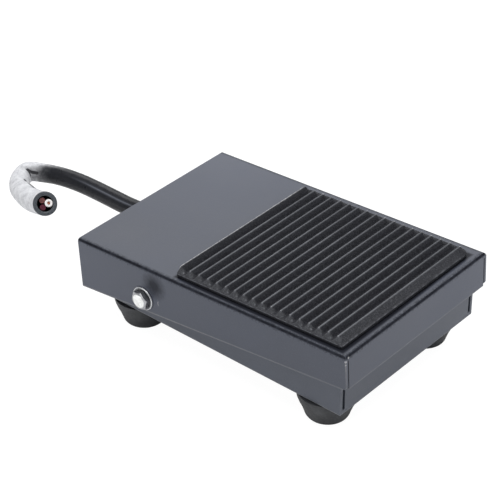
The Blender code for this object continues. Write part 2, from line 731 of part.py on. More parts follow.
# (radius, x) rows
SWITCH_SCREW_PROFILE = [
    (0.8, -7.2), (1.0, -6.9), (1.0, 3.3), (1.9, 3.3), (1.9, 4.1), (1.3, 4.7),
]
SWITCH_NUT_PROFILE = [(1.08, -4.4), (2.4, -4.4, True), (2.4, -6.0, True), (1.08, -6.0)]


def switch_bores(lo, hi):
    return [rod(SWITCH_HOLE_R, lo, hi, 14, (0, y, SWITCH_HOLE_H), "x")
            for y in SWITCH_HOLES_Y.values()]


def switch_block(x0, x1):
    return box(x0, x1, SWITCH_FRONT_Y, SWITCH_REAR_Y, SWITCH_LOW_H, SWITCH_TOP_H)


def make_switch_case():
    case = add("switch_case", switch_block(SWITCH_LEFT_X, SWITCH_RIGHT_X), BLACK_PLASTIC)
    ears = [prism(EAR_OUTLINE, SWITCH_LEFT_X, EAR_GAP[0]),
            prism(EAR_OUTLINE, EAR_GAP[1], SWITCH_RIGHT_X)]
    boolean(case, "ears", "UNION", "switch_ear_join", ears)
    cut(case, "switch_pocket_cut", [box(-2.2, SWITCH_RIGHT_X + 1, -20.9, -3.1, 9.6, 13.8)])
    cut(case, "switch_slot_cut", [
        box(-1.5, 0.7, PLUNGER_Y - 1.1, PLUNGER_Y + 1.1, 13.0, 16.0),
        box(*EAR_GAP, -23.0, -19.4, 14.45, 17.0),
        *[box(*TERMINAL_SLOT_X, y0, y1, 4.0, 9.8) for y0, y1 in TERMINAL_SLOTS_Y],
        rod(PIN_HOLE_R, -5, 5, 10, (0, LEVER_Y, LEVER_H), "x"),
    ])
    cut(case, "switch_bore_cut", switch_bores(-6, 6))
    lid = add("switch_lid", switch_block(SWITCH_RIGHT_X + 0.08, SWITCH_LID_X), LID_PLASTIC)
    cut(lid, "switch_lid_cut", switch_bores(-6, 6))


def make_contacts():
    for tag, outline in TERMINAL_OUTLINES.items():
        add(f"terminal_{tag}", prism(outline, *TERMINAL_X), SILVERED)
    blade_axis = empty("contact_blade_axis", (0, BLADE_Y, BLADE_H))
    add("contact_blade", prism(BLADE_OUTLINE, *MOVING_X), SILVERED, parent=blade_axis)


def make_plunger():
    slide = empty("switch_plunger_axis", (MID_X, PLUNGER_Y, SWITCH_TOP_H))
    along = (PLUNGER_Y - BLADE_ROOT[0]) / (BLADE_TIP[0] - BLADE_ROOT[0])
    blade_top = BLADE_ROOT[1] + (BLADE_TIP[1] - BLADE_ROOT[1]) * along
    outline = [
        (PLUNGER_Y - 1.0, blade_top + 0.25), (PLUNGER_Y + 1.0, blade_top + 0.15),
        (PLUNGER_Y + 1.0, 16.3), (PLUNGER_Y + 0.5, 16.5),
        (PLUNGER_Y - 0.3, 16.45), (PLUNGER_Y - 1.0, 16.15)]
    add("switch_plunger", prism(outline, *MOVING_X), PLUNGER_RED, parent=slide)


def on_lever(shape):
    """From the lever's own frame to the floor frame."""
    return on_tray(moved(shape, lambda p: (
        p[0],
        LEVER_Y + p[1] * LEVER_COS - p[2] * LEVER_SIN,
        LEVER_H + p[1] * LEVER_SIN + p[2] * LEVER_COS)))


def make_lever():
    axis = empty("switch_lever_axis", (0, LEVER_Y, LEVER_H))
    lever = add("switch_lever", prism(LEVER_OUTLINE, *LEVER_X), SPRING_STEEL, on_lever, axis)
    bore = rod(PIN_HOLE_R, -4, 4, 10, axis="x")
    cut(lever, "lever_bore_cut", [bore], on_lever, axis)
    pin = rod(0.33, -2.9, 2.1, 10, (0, LEVER_Y, LEVER_H), "x")
    add("lever_pin", pin, ZINC, smooth=True)


def make_switch_screws():
    screw = turned(SWITCH_SCREW_PROFILE, 12)
    nut = turned(SWITCH_NUT_PROFILE, 12, cyclic=True, flats=4.0)
    for tag, y in SWITCH_HOLES_Y.items():
        at = (0, y, SWITCH_HOLE_H)
        add(f"switch_screw_{tag}", placed(screw, at, "x"), ZINC, smooth=True)
        add(f"switch_nut_{tag}", placed(nut, at, "x"), ZINC)


# ---- switch bracket and insulating card -------------------------------------------------------

# (x, z) points of the L section
BRACKET_OUTLINE = [(-3.3, 1.1), (-3.3, 12.6), (-4.3, 12.6), (-4.3, 2.1), (-12.6, 2.1), (-12.6, 1.1)]
# (radius, height) rows
BRACKET_SCREW_PROFILE = [
    (0.7, -2.6), (1.35, -1.8), (1.35, 2.15), (2.6, 2.15), (2.6, 2.9), (1.9, 3.8),
]


def make_bracket():
    bracket = add("switch_bracket", prism(BRACKET_OUTLINE, -21.6, -2.4, "y"), BRACKET_STEEL)
    floor_holes = [rod(HOLE_R, 0.5, 3, 14, (x, y, 0)) for x, y in BRACKET_SCREWS.values()]
    cut(bracket, "bracket_cut", switch_bores(-6, -1) + floor_holes)
    screw = turned(BRACKET_SCREW_PROFILE, 14)
    for tag, (x, y) in BRACKET_SCREWS.items():
        add(f"bracket_screw_{tag}", placed(screw, (x, y, 0)), ZINC, smooth=True)
    add("insulating_card", box(-3.0, 8.2, -23.0, 0.5, 1.06, 1.3), CARD)


# ---- cable ------------------------------------------------------------------------------------

# the sheath swells towards its free end
CABLE_R, CABLE_END_R = 2.97, 3.85
CABLE_BORE_R, CABLE_END_BORE_R = 2.35, 2.5
SWELL_START, SWELL_END = 35, 8  # distances from the free end
SHEATH_SIDES = 14
CORE_SIDES = 6
CORE_R = 0.92
CORE_OFFSET = 1.28
CORE_BORE_R = 0.5
STRAND_R = 0.43
TIE_Y = 42.3

# (x, y, z) of the cable's axis: out of the rear wall, back, and round in a hook
CABLE_PATH = [
    (0.0, 37.0, CABLE_H), (0.0, 43.5, CABLE_H), (0.0, 50.0, CABLE_H),
    (-0.4, 57.9, 8.5), (-0.3, 65.9, 8.2), (0.0, 74.9, 8.1), (-0.3, 84.9, 8.1),
    (-1.7, 94.3, 7.7), (-3.1, 99.5, 7.2), (-5.9, 102.6, 7.3), (-8.9, 102.2, 6.7),
    (-12.05, 99.75, 6.4), (-14.55, 96.15, 7.1), (-16.9, 92.0, 8.8),
    (-18.25, 86.85, 9.1), (-18.7, 82.8, 10.0), (-22.4, 76.4, 14.0),
]
# colour: (angle round the cable's axis, material)
CORES = {"white": (0, CORE_WHITE), "brown": (125, CORE_BROWN), "red": (235, CORE_RED)}
# lanes along the tray floor, from the left: (x, y at the terminal, height before the cable)
LANES = ((2.0, -4.4, 7.0), (4.3, -11.6, 8.7), (6.6, -19.2, 6.2))

# (radius, y from the middle of the rear wall) rows
GROMMET_PROFILE = [
    (3.05, -2.3), (4.6, -2.3), (5.2, -1.8), (5.2, -0.6), (4.05, -0.6),
    (4.05, 0.6), (5.0, 0.6), (5.0, 1.3), (4.4, 1.9), (3.05, 1.9),
]


def make_sheath(axis, tangents, sides):
    total = sum((b - a).length for a, b in zip(axis, axis[1:]))
    run, outer_r, bore_r = 0.0, [], []
    for i, p in enumerate(axis):
        if i:
            run += (p - axis[i - 1]).length
        swell = smoothstep(total - SWELL_START, total - SWELL_END, run)
        outer_r.append(CABLE_R + (CABLE_END_R - CABLE_R) * swell)
        bore_r.append(CABLE_BORE_R + (CABLE_END_BORE_R - CABLE_BORE_R) * swell)
    outside = tube_rings(axis, tangents, sides, outer_r, SHEATH_SIDES)
    bore = tube_rings(axis, tangents, sides, bore_r, SHEATH_SIDES)
    sheath = loft(outside + bore[::-1], cyclic=True)
    add("cable_sheath", sheath, JACKET, on_floor, smooth=True)


def core_lead(k, entry):
    """Control points of a core inside the tray, from its terminal to its entry to the cable."""
    x, stop, crossing_h = LANES[k]
    route = [
        (1.0, stop, 2.6),
        (1.0 + min(1.6, (x - 1.0) * 0.5), stop + 0.6 + 0.2 * k, 2.6),
        (x, stop + 4.0 + 0.6 * k, 2.6),
        (x, 4.0, 2.6),
        (x, 14.0, 2.6),
        (x * 0.95, 21.5, 2.7),
        (x * 1.05 - 2.1, 26.8, 4.3),
        (x * 0.8 - 2.9, 31.4, crossing_h),
    ]
    return [up(p) for p in route] + [tuple(entry + Vector((0, -2.2, 0))), tuple(entry)]


def make_cores(axis, tangents, sides):
    in_cable = {}
    for tag, (degrees, _) in CORES.items():
        a = math.radians(degrees)
        in_cable[tag] = [
            p + side * (CORE_OFFSET * math.cos(a)) + tangent.cross(side) * (CORE_OFFSET * math.sin(a))
            for p, tangent, side in zip(axis, tangents, sides)]
    # lanes are taken in the order the cores enter the cable, so that they do not cross
    for k, tag in enumerate(sorted(in_cable, key=lambda tag: in_cable[tag][0].x)):
        path = in_cable[tag]
        pts = curve_points(core_lead(k, path[0]), 4.2)[:-1]
        pts += path[:-1] + [path[-1] - tangents[-1] * 0.45]
        core_tan, core_sides = frames(pts, sides[-1])
        rings = tube_rings(pts, core_tan, core_sides, [CORE_R] * len(pts), CORE_SIDES)
        if tag == "white":
            # a blind bore in the free end, with a copper strand in it
            end_tan, end_sides = core_tan[-3:], core_sides[-3:]
            bore = tube_rings(pts[-3:], end_tan, end_sides, [CORE_BORE_R] * 3, CORE_SIDES)
            rings += bore[::-1]
            stub = [pts[-3] + end_tan[0] * 0.1, pts[-2], pts[-1] + end_tan[-1] * 0.15]
            strand = loft(tube_rings(stub, end_tan, end_sides, [STRAND_R] * 3, CORE_SIDES))
            add("copper_strand", strand, COPPER, on_floor, smooth=True)
        add(f"core_{tag}", loft(rings), CORES[tag][1], on_floor, smooth=True)


def make_grommet():
    grommet = turned(GROMMET_PROFILE, 24, cyclic=True)
    at = (0, TRAY_REAR_Y - SHEET / 2, CABLE_H)
    add("cable_grommet", placed(grommet, at, "y"), RUBBER, smooth=True)


def make_tie():
    band = placed(sleeve(3.03, 3.9, -1.2, 1.2, 20), (0, TIE_Y, CABLE_H), "y")
    tie = add("cable_tie", band, NYLON, smooth=True)
    head = box(3.45, 6.6, 40.6, 44.0, CABLE_H - 1.9, CABLE_H + 1.9)
    boolean(tie, "head", "UNION", "tie_head_join", [head])


def make_cable():
    axis = spline_points([up(p) for p in CABLE_PATH], 3.1)
    end_tangent = (axis[-1] - axis[-2]).normalized()
    tangents, sides = frames(axis, Vector((0, 0, 1)).cross(end_tangent).normalized())
    make_sheath(axis, tangents, sides)
    make_cores(axis, tangents, sides)
    make_grommet()
    make_tie()


# ---- assembly ---------------------------------------------------------------------------------


def centre_root():
    """Puts the world origin under the middle of the whole object's bounding box."""
    bpy.context.view_layer.update()
    graph = bpy.context.evaluated_depsgraph_get()
    lo, hi = Vector((1e9,) * 3), Vector((-1e9,) * 3)
    for obj in bpy.data.objects:
        if obj.type != "MESH" or obj.hide_render:
            continue
        evaluated = obj.evaluated_get(graph)
        for vert in evaluated.data.vertices:
            point = evaluated.matrix_world @ vert.co
            for i in range(3):
                lo[i] = min(lo[i], point[i])
                hi[i] = max(hi[i], point[i])
    root.location = (-(lo.x + hi.x) / 2, -(lo.y + hi.y) / 2, -lo.z)
    bpy.context.view_layer.update()


make_tray()
make_feet()
make_pivot()
make_pedal()
make_spring()
make_switch_case()
make_contacts()
make_plunger()
make_lever()
make_switch_screws()
make_bracket()
make_cable()
centre_root()
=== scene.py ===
"""A foot switch: a folded steel cover with a ribbed rubber pad, hinged over a steel tray that
stands on four rubber feet. A three-core cable leaves the rear wall and ends in a cut face.

Shapes are in millimetres. +X is right, +Y the rear and +Z up. The tray frame starts at the
middle of the tray's underside, the cover frame at the middle of the cover's top face; the
cover rises 3 degrees towards the front."""

import math
from functools import cached_property, reduce

import bmesh
import bpy
import numpy as np
from mathutils import Matrix, Vector, noise


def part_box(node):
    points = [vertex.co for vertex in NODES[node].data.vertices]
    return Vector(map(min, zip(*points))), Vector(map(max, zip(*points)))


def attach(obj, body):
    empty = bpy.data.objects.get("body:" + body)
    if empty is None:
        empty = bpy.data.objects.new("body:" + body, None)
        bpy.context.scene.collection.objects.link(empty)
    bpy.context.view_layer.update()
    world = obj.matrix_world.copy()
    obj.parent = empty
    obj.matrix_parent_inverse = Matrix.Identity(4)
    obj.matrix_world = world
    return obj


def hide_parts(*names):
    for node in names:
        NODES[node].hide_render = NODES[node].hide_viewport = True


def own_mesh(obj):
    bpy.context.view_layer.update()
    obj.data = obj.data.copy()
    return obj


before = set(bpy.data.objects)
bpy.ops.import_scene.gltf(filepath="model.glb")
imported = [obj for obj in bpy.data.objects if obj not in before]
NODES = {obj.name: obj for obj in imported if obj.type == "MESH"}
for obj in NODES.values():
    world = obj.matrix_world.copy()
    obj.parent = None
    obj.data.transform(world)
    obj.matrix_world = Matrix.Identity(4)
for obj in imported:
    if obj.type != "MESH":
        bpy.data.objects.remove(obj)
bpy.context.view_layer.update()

# ---- driving sizes, in mm ---------------------------------------------------------------------

SHEET = 1.0  # thickness of the cover and the tray
COVER_X, COVER_Y = 33.15, 51.15  # half width and half length
LEFT, FRONT = -COVER_X, -COVER_Y
REAR_DEPTH, FRONT_DEPTH = 16.95, 11.1  # depth of the side flaps at their two ends
FLAP_SLOPE = (REAR_DEPTH - FRONT_DEPTH) / (2 * COVER_Y)
COVER_TOP = 20.0  # middle of the cover's top above the tray's underside
TILT = math.radians(3.0)
COS_TILT, SIN_TILT = math.cos(TILT), math.sin(TILT)

TRAY_X, TRAY_FRONT, TRAY_REAR, WALL = 31.5, -48.5, 48.0, 15.6
PIVOT_Y, PIVOT_Z = 24.35, 7.7  # in the tray frame
PIVOT_HOLE = 1.7  # radius
FOOT_X, FOOT_FRONT, FOOT_REAR = 23.3, -37.6, 33.8
SPRING_Y = -34.0
CABLE_Z = 9.3  # where the cable passes the rear wall

PAD_X, PAD_FRONT, PAD_REAR = 30.12, -48.3, 13.0
PAD_MID, PAD_HALF = (PAD_FRONT + PAD_REAR) / 2, (PAD_REAR - PAD_FRONT) / 2
PAD_SHIFT = -0.83  # the pad sits a little to the left

# The camera's axes, which also place the marks on the cable
VIEW_RIGHT = Vector((0.6512155, -0.75886976, -0.00592072))
VIEW_DOWN = Vector((-0.42895128, -0.36164134, -0.82777795))
VIEW_FORWARD = Vector((0.62603448, 0.54160153, -0.5610246))

TRAY_LO, TRAY_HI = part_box("base_tray")
ORIGIN = Vector(((TRAY_LO.x + TRAY_HI.x) * 500, TRAY_LO.y * 1000 - TRAY_FRONT, TRAY_LO.z * 1000))


def tray_mm(p):
    """From the tray frame to the scene, in mm."""
    return Vector((ORIGIN.x + p[0], ORIGIN.y + p[1], ORIGIN.z + p[2]))


def cover_mm(p):
    """From the tilted cover frame to the scene, in mm."""
    y = COS_TILT * p[1] + SIN_TILT * p[2]
    return tray_mm((p[0], y, COVER_TOP - SIN_TILT * p[1] + COS_TILT * p[2]))


# ---- shapes: (points, faces) in mm ------------------------------------------------------------


def merge(*shapes):
    verts, faces = [], []
    for points, polygons in shapes:
        start = len(verts)
        verts += list(points)
        faces += [tuple(i + start for i in polygon) for polygon in polygons]
    return verts, faces


def moved(shape, place):
    return [place(p) for p in shape[0]], shape[1]


def shifted(shape, dx, dy, dz):
    return moved(shape, lambda p: (p[0] + dx, p[1] + dy, p[2] + dz))


def turned(shape, degrees):
    """Turned about Z."""
    angle = math.radians(degrees)
    cos, sin = math.cos(angle), math.sin(angle)
    return moved(shape, lambda p: (p[0] * cos - p[1] * sin, p[0] * sin + p[1] * cos, p[2]))


def along_x(p):
    return (p[2], p[0], p[1])


def along_y(p):
    return (p[1], p[2], p[0])


def block(x0, x1, y0, y1, z0, z1):
    verts = [(x, y, z) for x in (x0, x1) for y in (y0, y1) for z in (z0, z1)]
    faces = [(0, 1, 3, 2), (4, 6, 7, 5), (0, 4, 5, 1), (2, 3, 7, 6), (0, 2, 6, 4), (1, 5, 7, 3)]
    return verts, faces


def prism(outline, low, high, place=lambda a, b, t: (t, a, b)):
    """An outline drawn out from low to high, along X unless place says otherwise."""
    n = len(outline)
    verts = [place(a, b, t) for t in (low, high) for a, b in outline]
    faces = [tuple(range(n)), tuple(range(2 * n - 1, n - 1, -1))]
    faces += [(i, (i + 1) % n, n + (i + 1) % n, n + i) for i in range(n)]
    return verts, faces


def loft(rings, cyclic=False):
    """A skin over rings of equally many points; capped at both ends unless cyclic."""
    n = len(rings[0])
    verts = [p for ring in rings for p in ring]
    faces = []
    for k in range(len(rings) if cyclic else len(rings) - 1):
        a, b = k * n, ((k + 1) % len(rings)) * n
        for i in range(n):
            j = (i + 1) % n
            faces.append((a + i, a + j, b + j, b + i))
    if not cyclic:
        faces.append(tuple(range(n - 1, -1, -1)))
        faces.append(tuple(range((len(rings) - 1) * n, len(rings) * n)))
    return verts, faces


def lathe(profile, count, cyclic=False, wobble=lambda radius, z, angle: 0):
    """A turned piece about +Z from (radius, height) rows; wobble adds to the radius."""
    rings = []
    for radius, z in profile:
        ring = []
        for i in range(count):
            angle = 2 * math.pi * i / count
            reach = radius + wobble(radius, z, angle)
            ring.append((reach * math.cos(angle), reach * math.sin(angle), z))
        rings.append(ring)
    return loft(rings, cyclic)


def pin(radius, low, high, count):
    return lathe([(radius, low), (radius, high)], count)


def circle(centre, side, up, radius, count):
    points = []
    for i in range(count):
        angle = 2 * math.pi * i / count
        out = side * (radius * math.cos(angle)) + up * (radius * math.sin(angle))
        points.append(tuple(centre + side * (radius * math.cos(angle))
                            + up * (radius * math.sin(angle))) if out else tuple(centre))
    return points


def soften(points, radius, steps=4, closed=False):
    """A line of (radius, height) rows with its corners rounded."""
    rows = [Vector(p) for p in points]
    out = []
    for i, p in enumerate(rows):
        if not closed and i in (0, len(rows) - 1):
            out.append(p)
            continue
        before, after = rows[i - 1], rows[(i + 1) % len(rows)]
        start, end = (p + (q - p).normalized() * min(radius, (q - p).length * 0.48)
                      for q in (before, after))
        for k in range(steps + 1):
            t = k / steps
            out.append(start * (1 - t) ** 2 + p * (2 * t * (1 - t)) + end * t * t)
    return [tuple(p) for p in out]


def arc(x, y, radius, start, end, count):
    """Points on an arc between two angles in degrees."""
    angles = [math.radians(start + (end - start) * k / count) for k in range(count + 1)]
    return [(x + radius * math.cos(a), y + radius * math.sin(a)) for a in angles]


def step(low, high, value):
    """0 below low and 1 above high, with a smooth rise between."""
    t = min(max((value - low) / (high - low), 0.0), 1.0)
    return t * t * (3 - 2 * t)


def bell(offset, width):
    return math.exp(-((offset / width) ** 2))


# ---- mesh work --------------------------------------------------------------------------------


def mesh_of(shape, name="work"):
    mesh = bpy.data.meshes.new(name)
    mesh.from_pydata([tuple(v) for v in shape[0]], [], shape[1])
    return mesh


def editable(mesh):
    edit = bmesh.new()
    edit.from_mesh(mesh)
    return edit


def face_outwards(edit):
    bmesh.ops.recalc_face_normals(edit, faces=edit.faces)
    if edit.calc_volume(signed=True) < 0:
        bmesh.ops.reverse_faces(edit, faces=edit.faces)


def close_shape(edit, mesh):
    """The edited shape; the work mesh is thrown away."""
    edit.verts.index_update()
    verts = [tuple(v.co) for v in edit.verts]
    faces = [tuple(v.index for v in face.verts) for face in edit.faces]
    edit.free()
    bpy.data.meshes.remove(mesh)
    return verts, faces


def bevelled(shape, pick, width, segments):
    """The shape with the edges that pick chooses rounded to a fold."""
    mesh = mesh_of(shape)
    edit = editable(mesh)
    bmesh.ops.recalc_face_normals(edit, faces=edit.faces)
    chosen = [e for e in edit.edges if pick(e.verts[0].co, e.verts[1].co)]
    bmesh.ops.bevel(edit, geom=chosen, offset=width, offset_type="OFFSET", segments=segments,
                    profile=0.5, affect="EDGES", clamp_overlap=True)
    return close_shape(edit, mesh)


def eased(shape, offset, segments=2, angle=32):
    """The shape with edges sharper than angle (degrees) rounded a little."""
    mesh = mesh_of(shape)
    edit = editable(mesh)
    bmesh.ops.remove_doubles(edit, verts=edit.verts, dist=2e-4)
    bmesh.ops.dissolve_limit(edit, angle_limit=math.radians(0.6), verts=edit.verts,
                             edges=edit.edges)
    bmesh.ops.recalc_face_normals(edit, faces=edit.faces)
    sharp = [e for e in edit.edges
             if len(e.link_faces) == 2 and e.calc_face_angle(0) > math.radians(angle)]
    bmesh.ops.bevel(edit, geom=sharp, offset=offset, offset_type="OFFSET", segments=segments,
                    profile=0.6, affect="EDGES", clamp_overlap=False)
    bmesh.ops.remove_doubles(edit, verts=edit.verts, dist=1e-4)
    return close_shape(edit, mesh)


def working(shape):
    """A temporary object for the Boolean cuts."""
    mesh = mesh_of(shape)
    edit = editable(mesh)
    face_outwards(edit)
    edit.to_mesh(mesh)
    edit.free()
    obj = bpy.data.objects.new("work", mesh)
    bpy.context.scene.collection.objects.link(obj)
    return obj


def carve(shape, tools, operation="DIFFERENCE"):
    body = working(shape)
    others = [working(tool) for tool in tools]
    for other in others:
        cut = body.modifiers.new("cut", "BOOLEAN")
        cut.operation, cut.solver, cut.object = operation, "EXACT", other
    bpy.context.view_layer.update()
    graph = bpy.context.evaluated_depsgraph_get()
    mesh = bpy.data.meshes.new_from_object(body.evaluated_get(graph))
    verts = [tuple(v.co) for v in mesh.vertices]
    faces = [tuple(polygon.vertices) for polygon in mesh.polygons]
    bpy.data.meshes.remove(mesh)
    for obj in [body] + others:
        old = obj.data
        bpy.data.objects.remove(obj)
        bpy.data.meshes.remove(old)
    return verts, faces


def piece(name, shape, material, body, place, smooth, weighted=False, stands_for=(),
          attributes=None):
    """A shown piece. place takes its points to the scene; edges sharper than smooth (degrees)
    stay sharp; stands_for lists the CAD pieces it replaces."""
    verts = [tuple(Vector(place(v)) * 0.001) for v in shape[0]]
    mesh = mesh_of((verts, shape[1]), name)
    for key, values in (attributes or {}).items():
        attribute = mesh.attributes.new(key, "FLOAT", "POINT")
        attribute.data.foreach_set("value", np.asarray(values, np.float32))
    edit = editable(mesh)
    face_outwards(edit)
    for face in edit.faces:
        face.smooth = True
    for edge in edit.edges:
        if len(edge.link_faces) == 2 and edge.calc_face_angle(0) > math.radians(smooth):
            edge.smooth = False
    edit.to_mesh(mesh)
    edit.free()
    mesh.materials.append(MATERIALS[material])
    obj = bpy.data.objects.new(name, mesh)
    bpy.context.scene.collection.objects.link(obj)
    if weighted:
        modifier = obj.modifiers.new("weighted", "WEIGHTED_NORMAL")
        modifier.keep_sharp, modifier.weight = True, 60
    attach(obj, body)
    if stands_for:
        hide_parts(*stands_for)
    return obj


# ---- material building ------------------------------------------------------------------------

MATERIALS = {}  # by name, filled as each Look is made
INPUTS = {"colour": "Base Color", "rough": "Roughness", "metal": "Metallic", "normal": "Normal",
          "spec": "Specular IOR Level", "sub": "Subsurface Weight"}


def rgba(colour):
    return colour if isinstance(colour, bpy.types.NodeSocket) else (*colour, 1.0)


def scaled(tone, factor, lift=0.0):
    return tuple(min(1.0, v * factor + lift) for v in tone)


class Look:
    """A node material. Coordinates are the object's own, in millimetres."""

    def __init__(self, name):
        self.material = bpy.data.materials.new(name)
        self.material.use_nodes = True
        self.tree = self.material.node_tree
        self.bsdf = self.tree.nodes["Principled BSDF"]
        MATERIALS[name] = self.material

    @cached_property
    def coord(self):
        return self.node("ShaderNodeTexCoord").outputs

    @cached_property
    def mm(self):
        return self.mapped(self.coord["Object"], Scale=(1000, 1000, 1000))

    def feed(self, node, inputs):
        for key, value in inputs.items():
            if isinstance(value, bpy.types.NodeSocket):
                self.tree.links.new(value, node.inputs[key])
            elif value is not None:
                node.inputs[key].default_value = value

    def node(self, kind, inputs=None, **props):
        node = self.tree.nodes.new(kind)
        for key, value in props.items():
            setattr(node, key, value)
        self.feed(node, inputs or {})
        return node

    def mapped(self, vector, kind="POINT", **inputs):
        inputs["Vector"] = vector
        return self.node("ShaderNodeMapping", inputs, vector_type=kind).outputs[0]

    def noise(self, scale, detail=3, rough=0.6, distortion=0.0, stretch=None):
        vector = self.mapped(self.mm, Scale=stretch) if stretch else self.mm
        inputs = {"Vector": vector, "Scale": scale, "Detail": detail, "Roughness": rough,
                  "Distortion": distortion}
        return self.node("ShaderNodeTexNoise", inputs).outputs[0]

    def cells(self, scale):
        inputs = {"Vector": self.mm, "Scale": scale, "Randomness": 1.0}
        return self.node("ShaderNodeTexVoronoi", inputs, feature="F1").outputs["Distance"]

    def span(self, value, over=(0.3, 0.7), to=(0.0, 1.0)):
        """The value's run over one range carried to another, clamped."""
        inputs = {"Value": value, "From Min": over[0], "From Max": over[1],
                  "To Min": to[0], "To Max": to[1]}
        return self.node("ShaderNodeMapRange", inputs, clamp=True).outputs[0]

    def math(self, operation, a, b=0.0):
        return self.node("ShaderNodeMath", {0: a, 1: b, 2: 0.0}, operation=operation).outputs[0]

    def times(self, *values):
        return reduce(lambda a, b: self.math("MULTIPLY", a, b), values)

    def plus(self, *values):
        return reduce(lambda a, b: self.math("ADD", a, b), values)

    def most(self, *values):
        return reduce(lambda a, b: self.math("MAXIMUM", a, b), values)

    def minus(self, a, b):
        return self.math("SUBTRACT", a, b)

    def abs(self, value):
        return self.math("ABSOLUTE", value)

    def split(self, vector):
        return self.node("ShaderNodeSeparateXYZ", {0: vector}).outputs

    def distance(self, a, b):
        return self.node("ShaderNodeVectorMath", {0: a, 1: b},
                         operation="DISTANCE").outputs["Value"]

    def mix(self, amount, a, b):
        return self.node("ShaderNodeMix", {0: amount, 6: rgba(a), 7: rgba(b)},
                         data_type="RGBA").outputs[2]

    def scalar(self, amount, a, b):
        return self.node("ShaderNodeMix", {0: amount, 2: a, 3: b}, data_type="FLOAT").outputs[0]

    def attribute(self, name):
        return self.node("ShaderNodeAttribute", attribute_name=name).outputs["Fac"]

    def bump(self, height, depth, strength, normal=None):
        """depth is in mm."""
        inputs = {"Height": height, "Distance": depth * 0.001, "Strength": strength,
                  "Normal": normal}
        return self.node("ShaderNodeBump", inputs).outputs[0]

    def edge(self, radius):
        """1 on a sharp edge, 0 on flat surface."""
        rounded = self.node("ShaderNodeBevel", {"Radius": radius * 0.001}, samples=4).outputs[0]
        normal = self.node("ShaderNodeNewGeometry").outputs["Normal"]
        dot = self.node("ShaderNodeVectorMath", {0: rounded, 1: normal}, operation="DOT_PRODUCT")
        return self.span(dot.outputs["Value"], over=(0.985, 0.80))

    def finish(self, **inputs):
        self.feed(self.bsdf, {INPUTS[key]: value for key, value in inputs.items()})


# ---- powder coat ------------------------------------------------------------------------------

COAT_SPEC = 0.4


def powder(name, tone, marks):
    """Satin powder coat: fine orange peel, faint clouding and paler edges, partly worn paint and
    partly painted highlight. marks gives (colour, mask of the painted highlight on the cut rim,
    specular) for the part it is on."""
    mat = Look(name)
    cloud = mat.noise(scale=0.035, rough=0.55)
    fine = mat.noise(scale=2.6)
    peel = mat.noise(scale=1.1, detail=2, rough=0.5)
    ragged = mat.noise(scale=0.8)
    colour = mat.mix(mat.span(cloud), scaled(tone, 0.88), scaled(tone, 1.12))
    colour = mat.mix(mat.span(fine, to=(0.0, 0.3)), colour, scaled(tone, 1.45))
    specks = mat.span(mat.noise(scale=5.0, detail=1, rough=0.5), over=(0.62, 0.74))
    colour = mat.mix(mat.times(specks, 0.22), colour, (0.16, 0.17, 0.19))
    colour, rim, spec = marks(mat, tone, colour, ragged)
    # painted highlight: the cut rim is made paler
    colour = mat.mix(mat.times(rim, 0.6), colour, (0.185, 0.188, 0.195))
    patchy = mat.span(mat.noise(scale=0.9), over=(0.25, 0.7), to=(0.25, 1.0))
    # sharp edges made paler: partly worn paint, partly painted highlight
    wear_and_highlight = mat.times(mat.edge(radius=0.3), patchy)
    colour = mat.mix(mat.times(wear_and_highlight, 0.4), colour, (0.25, 0.26, 0.28))
    rough = mat.span(mat.plus(mat.times(cloud, 0.6), mat.times(fine, 0.4)), to=(0.36, 0.5))
    warp = mat.bump(mat.noise(scale=0.03, detail=1, rough=0.4), depth=0.35, strength=0.6)
    skin = mat.plus(mat.times(peel, 0.7), mat.times(fine, 0.45))
    normal = mat.bump(skin, depth=0.035, strength=0.55, normal=warp)
    mat.finish(colour=colour, rough=rough, normal=normal, spec=spec)


def tray_marks(mat, tone, colour, ragged):
    """A paler line along the foot of the walls, a painted highlight on their lower edge."""
    z = mat.split(mat.mm)[2]
    # painted highlight along the lower edge of the walls
    rim = mat.times(mat.span(z, over=(ORIGIN.z + 0.62, ORIGIN.z + 0.38)),
                    mat.span(ragged, over=(0.25, 0.6), to=(0.35, 1.0)))
    return colour, rim, COAT_SPEC


def fold_shade(mat, x, y, z, abs_x, normal):
    """Dark bands on the folds, which run a little way onto the flat faces, broken up."""
    side = mat.most(mat.abs(normal[0]), mat.abs(normal[1]))
    fold = mat.span(mat.times(side, normal[2], 2.0), over=(0.30, 0.90))
    broken = mat.noise(scale=0.55, detail=4)
    fold = mat.times(fold, mat.span(broken, over=(0.2, 0.6), to=(0.7, 1.0)))
    broken = mat.plus(mat.noise(scale=1.6, detail=4, rough=0.7), mat.times(z, 0.12))
    near_top = mat.times(mat.span(z, over=(-2.1, -0.9)), mat.span(z, over=(-0.3, -0.6)),
                         mat.span(broken, over=(0.34, 0.5), to=(0.0, 0.6)))
    band = mat.most(mat.span(abs_x, over=(COVER_X - 1.75, COVER_X - 0.8)),
                    mat.span(y, over=(FRONT + 1.75, FRONT + 0.8)))
    broken = mat.noise(scale=1.6, detail=4, rough=0.7)
    band = mat.times(band, mat.span(broken, over=(0.38, 0.55), to=(0.0, 0.75)))
    on_top = mat.times(mat.span(z, over=(-0.4, -0.05)), band)
    return mat.most(fold, mat.most(near_top, on_top))


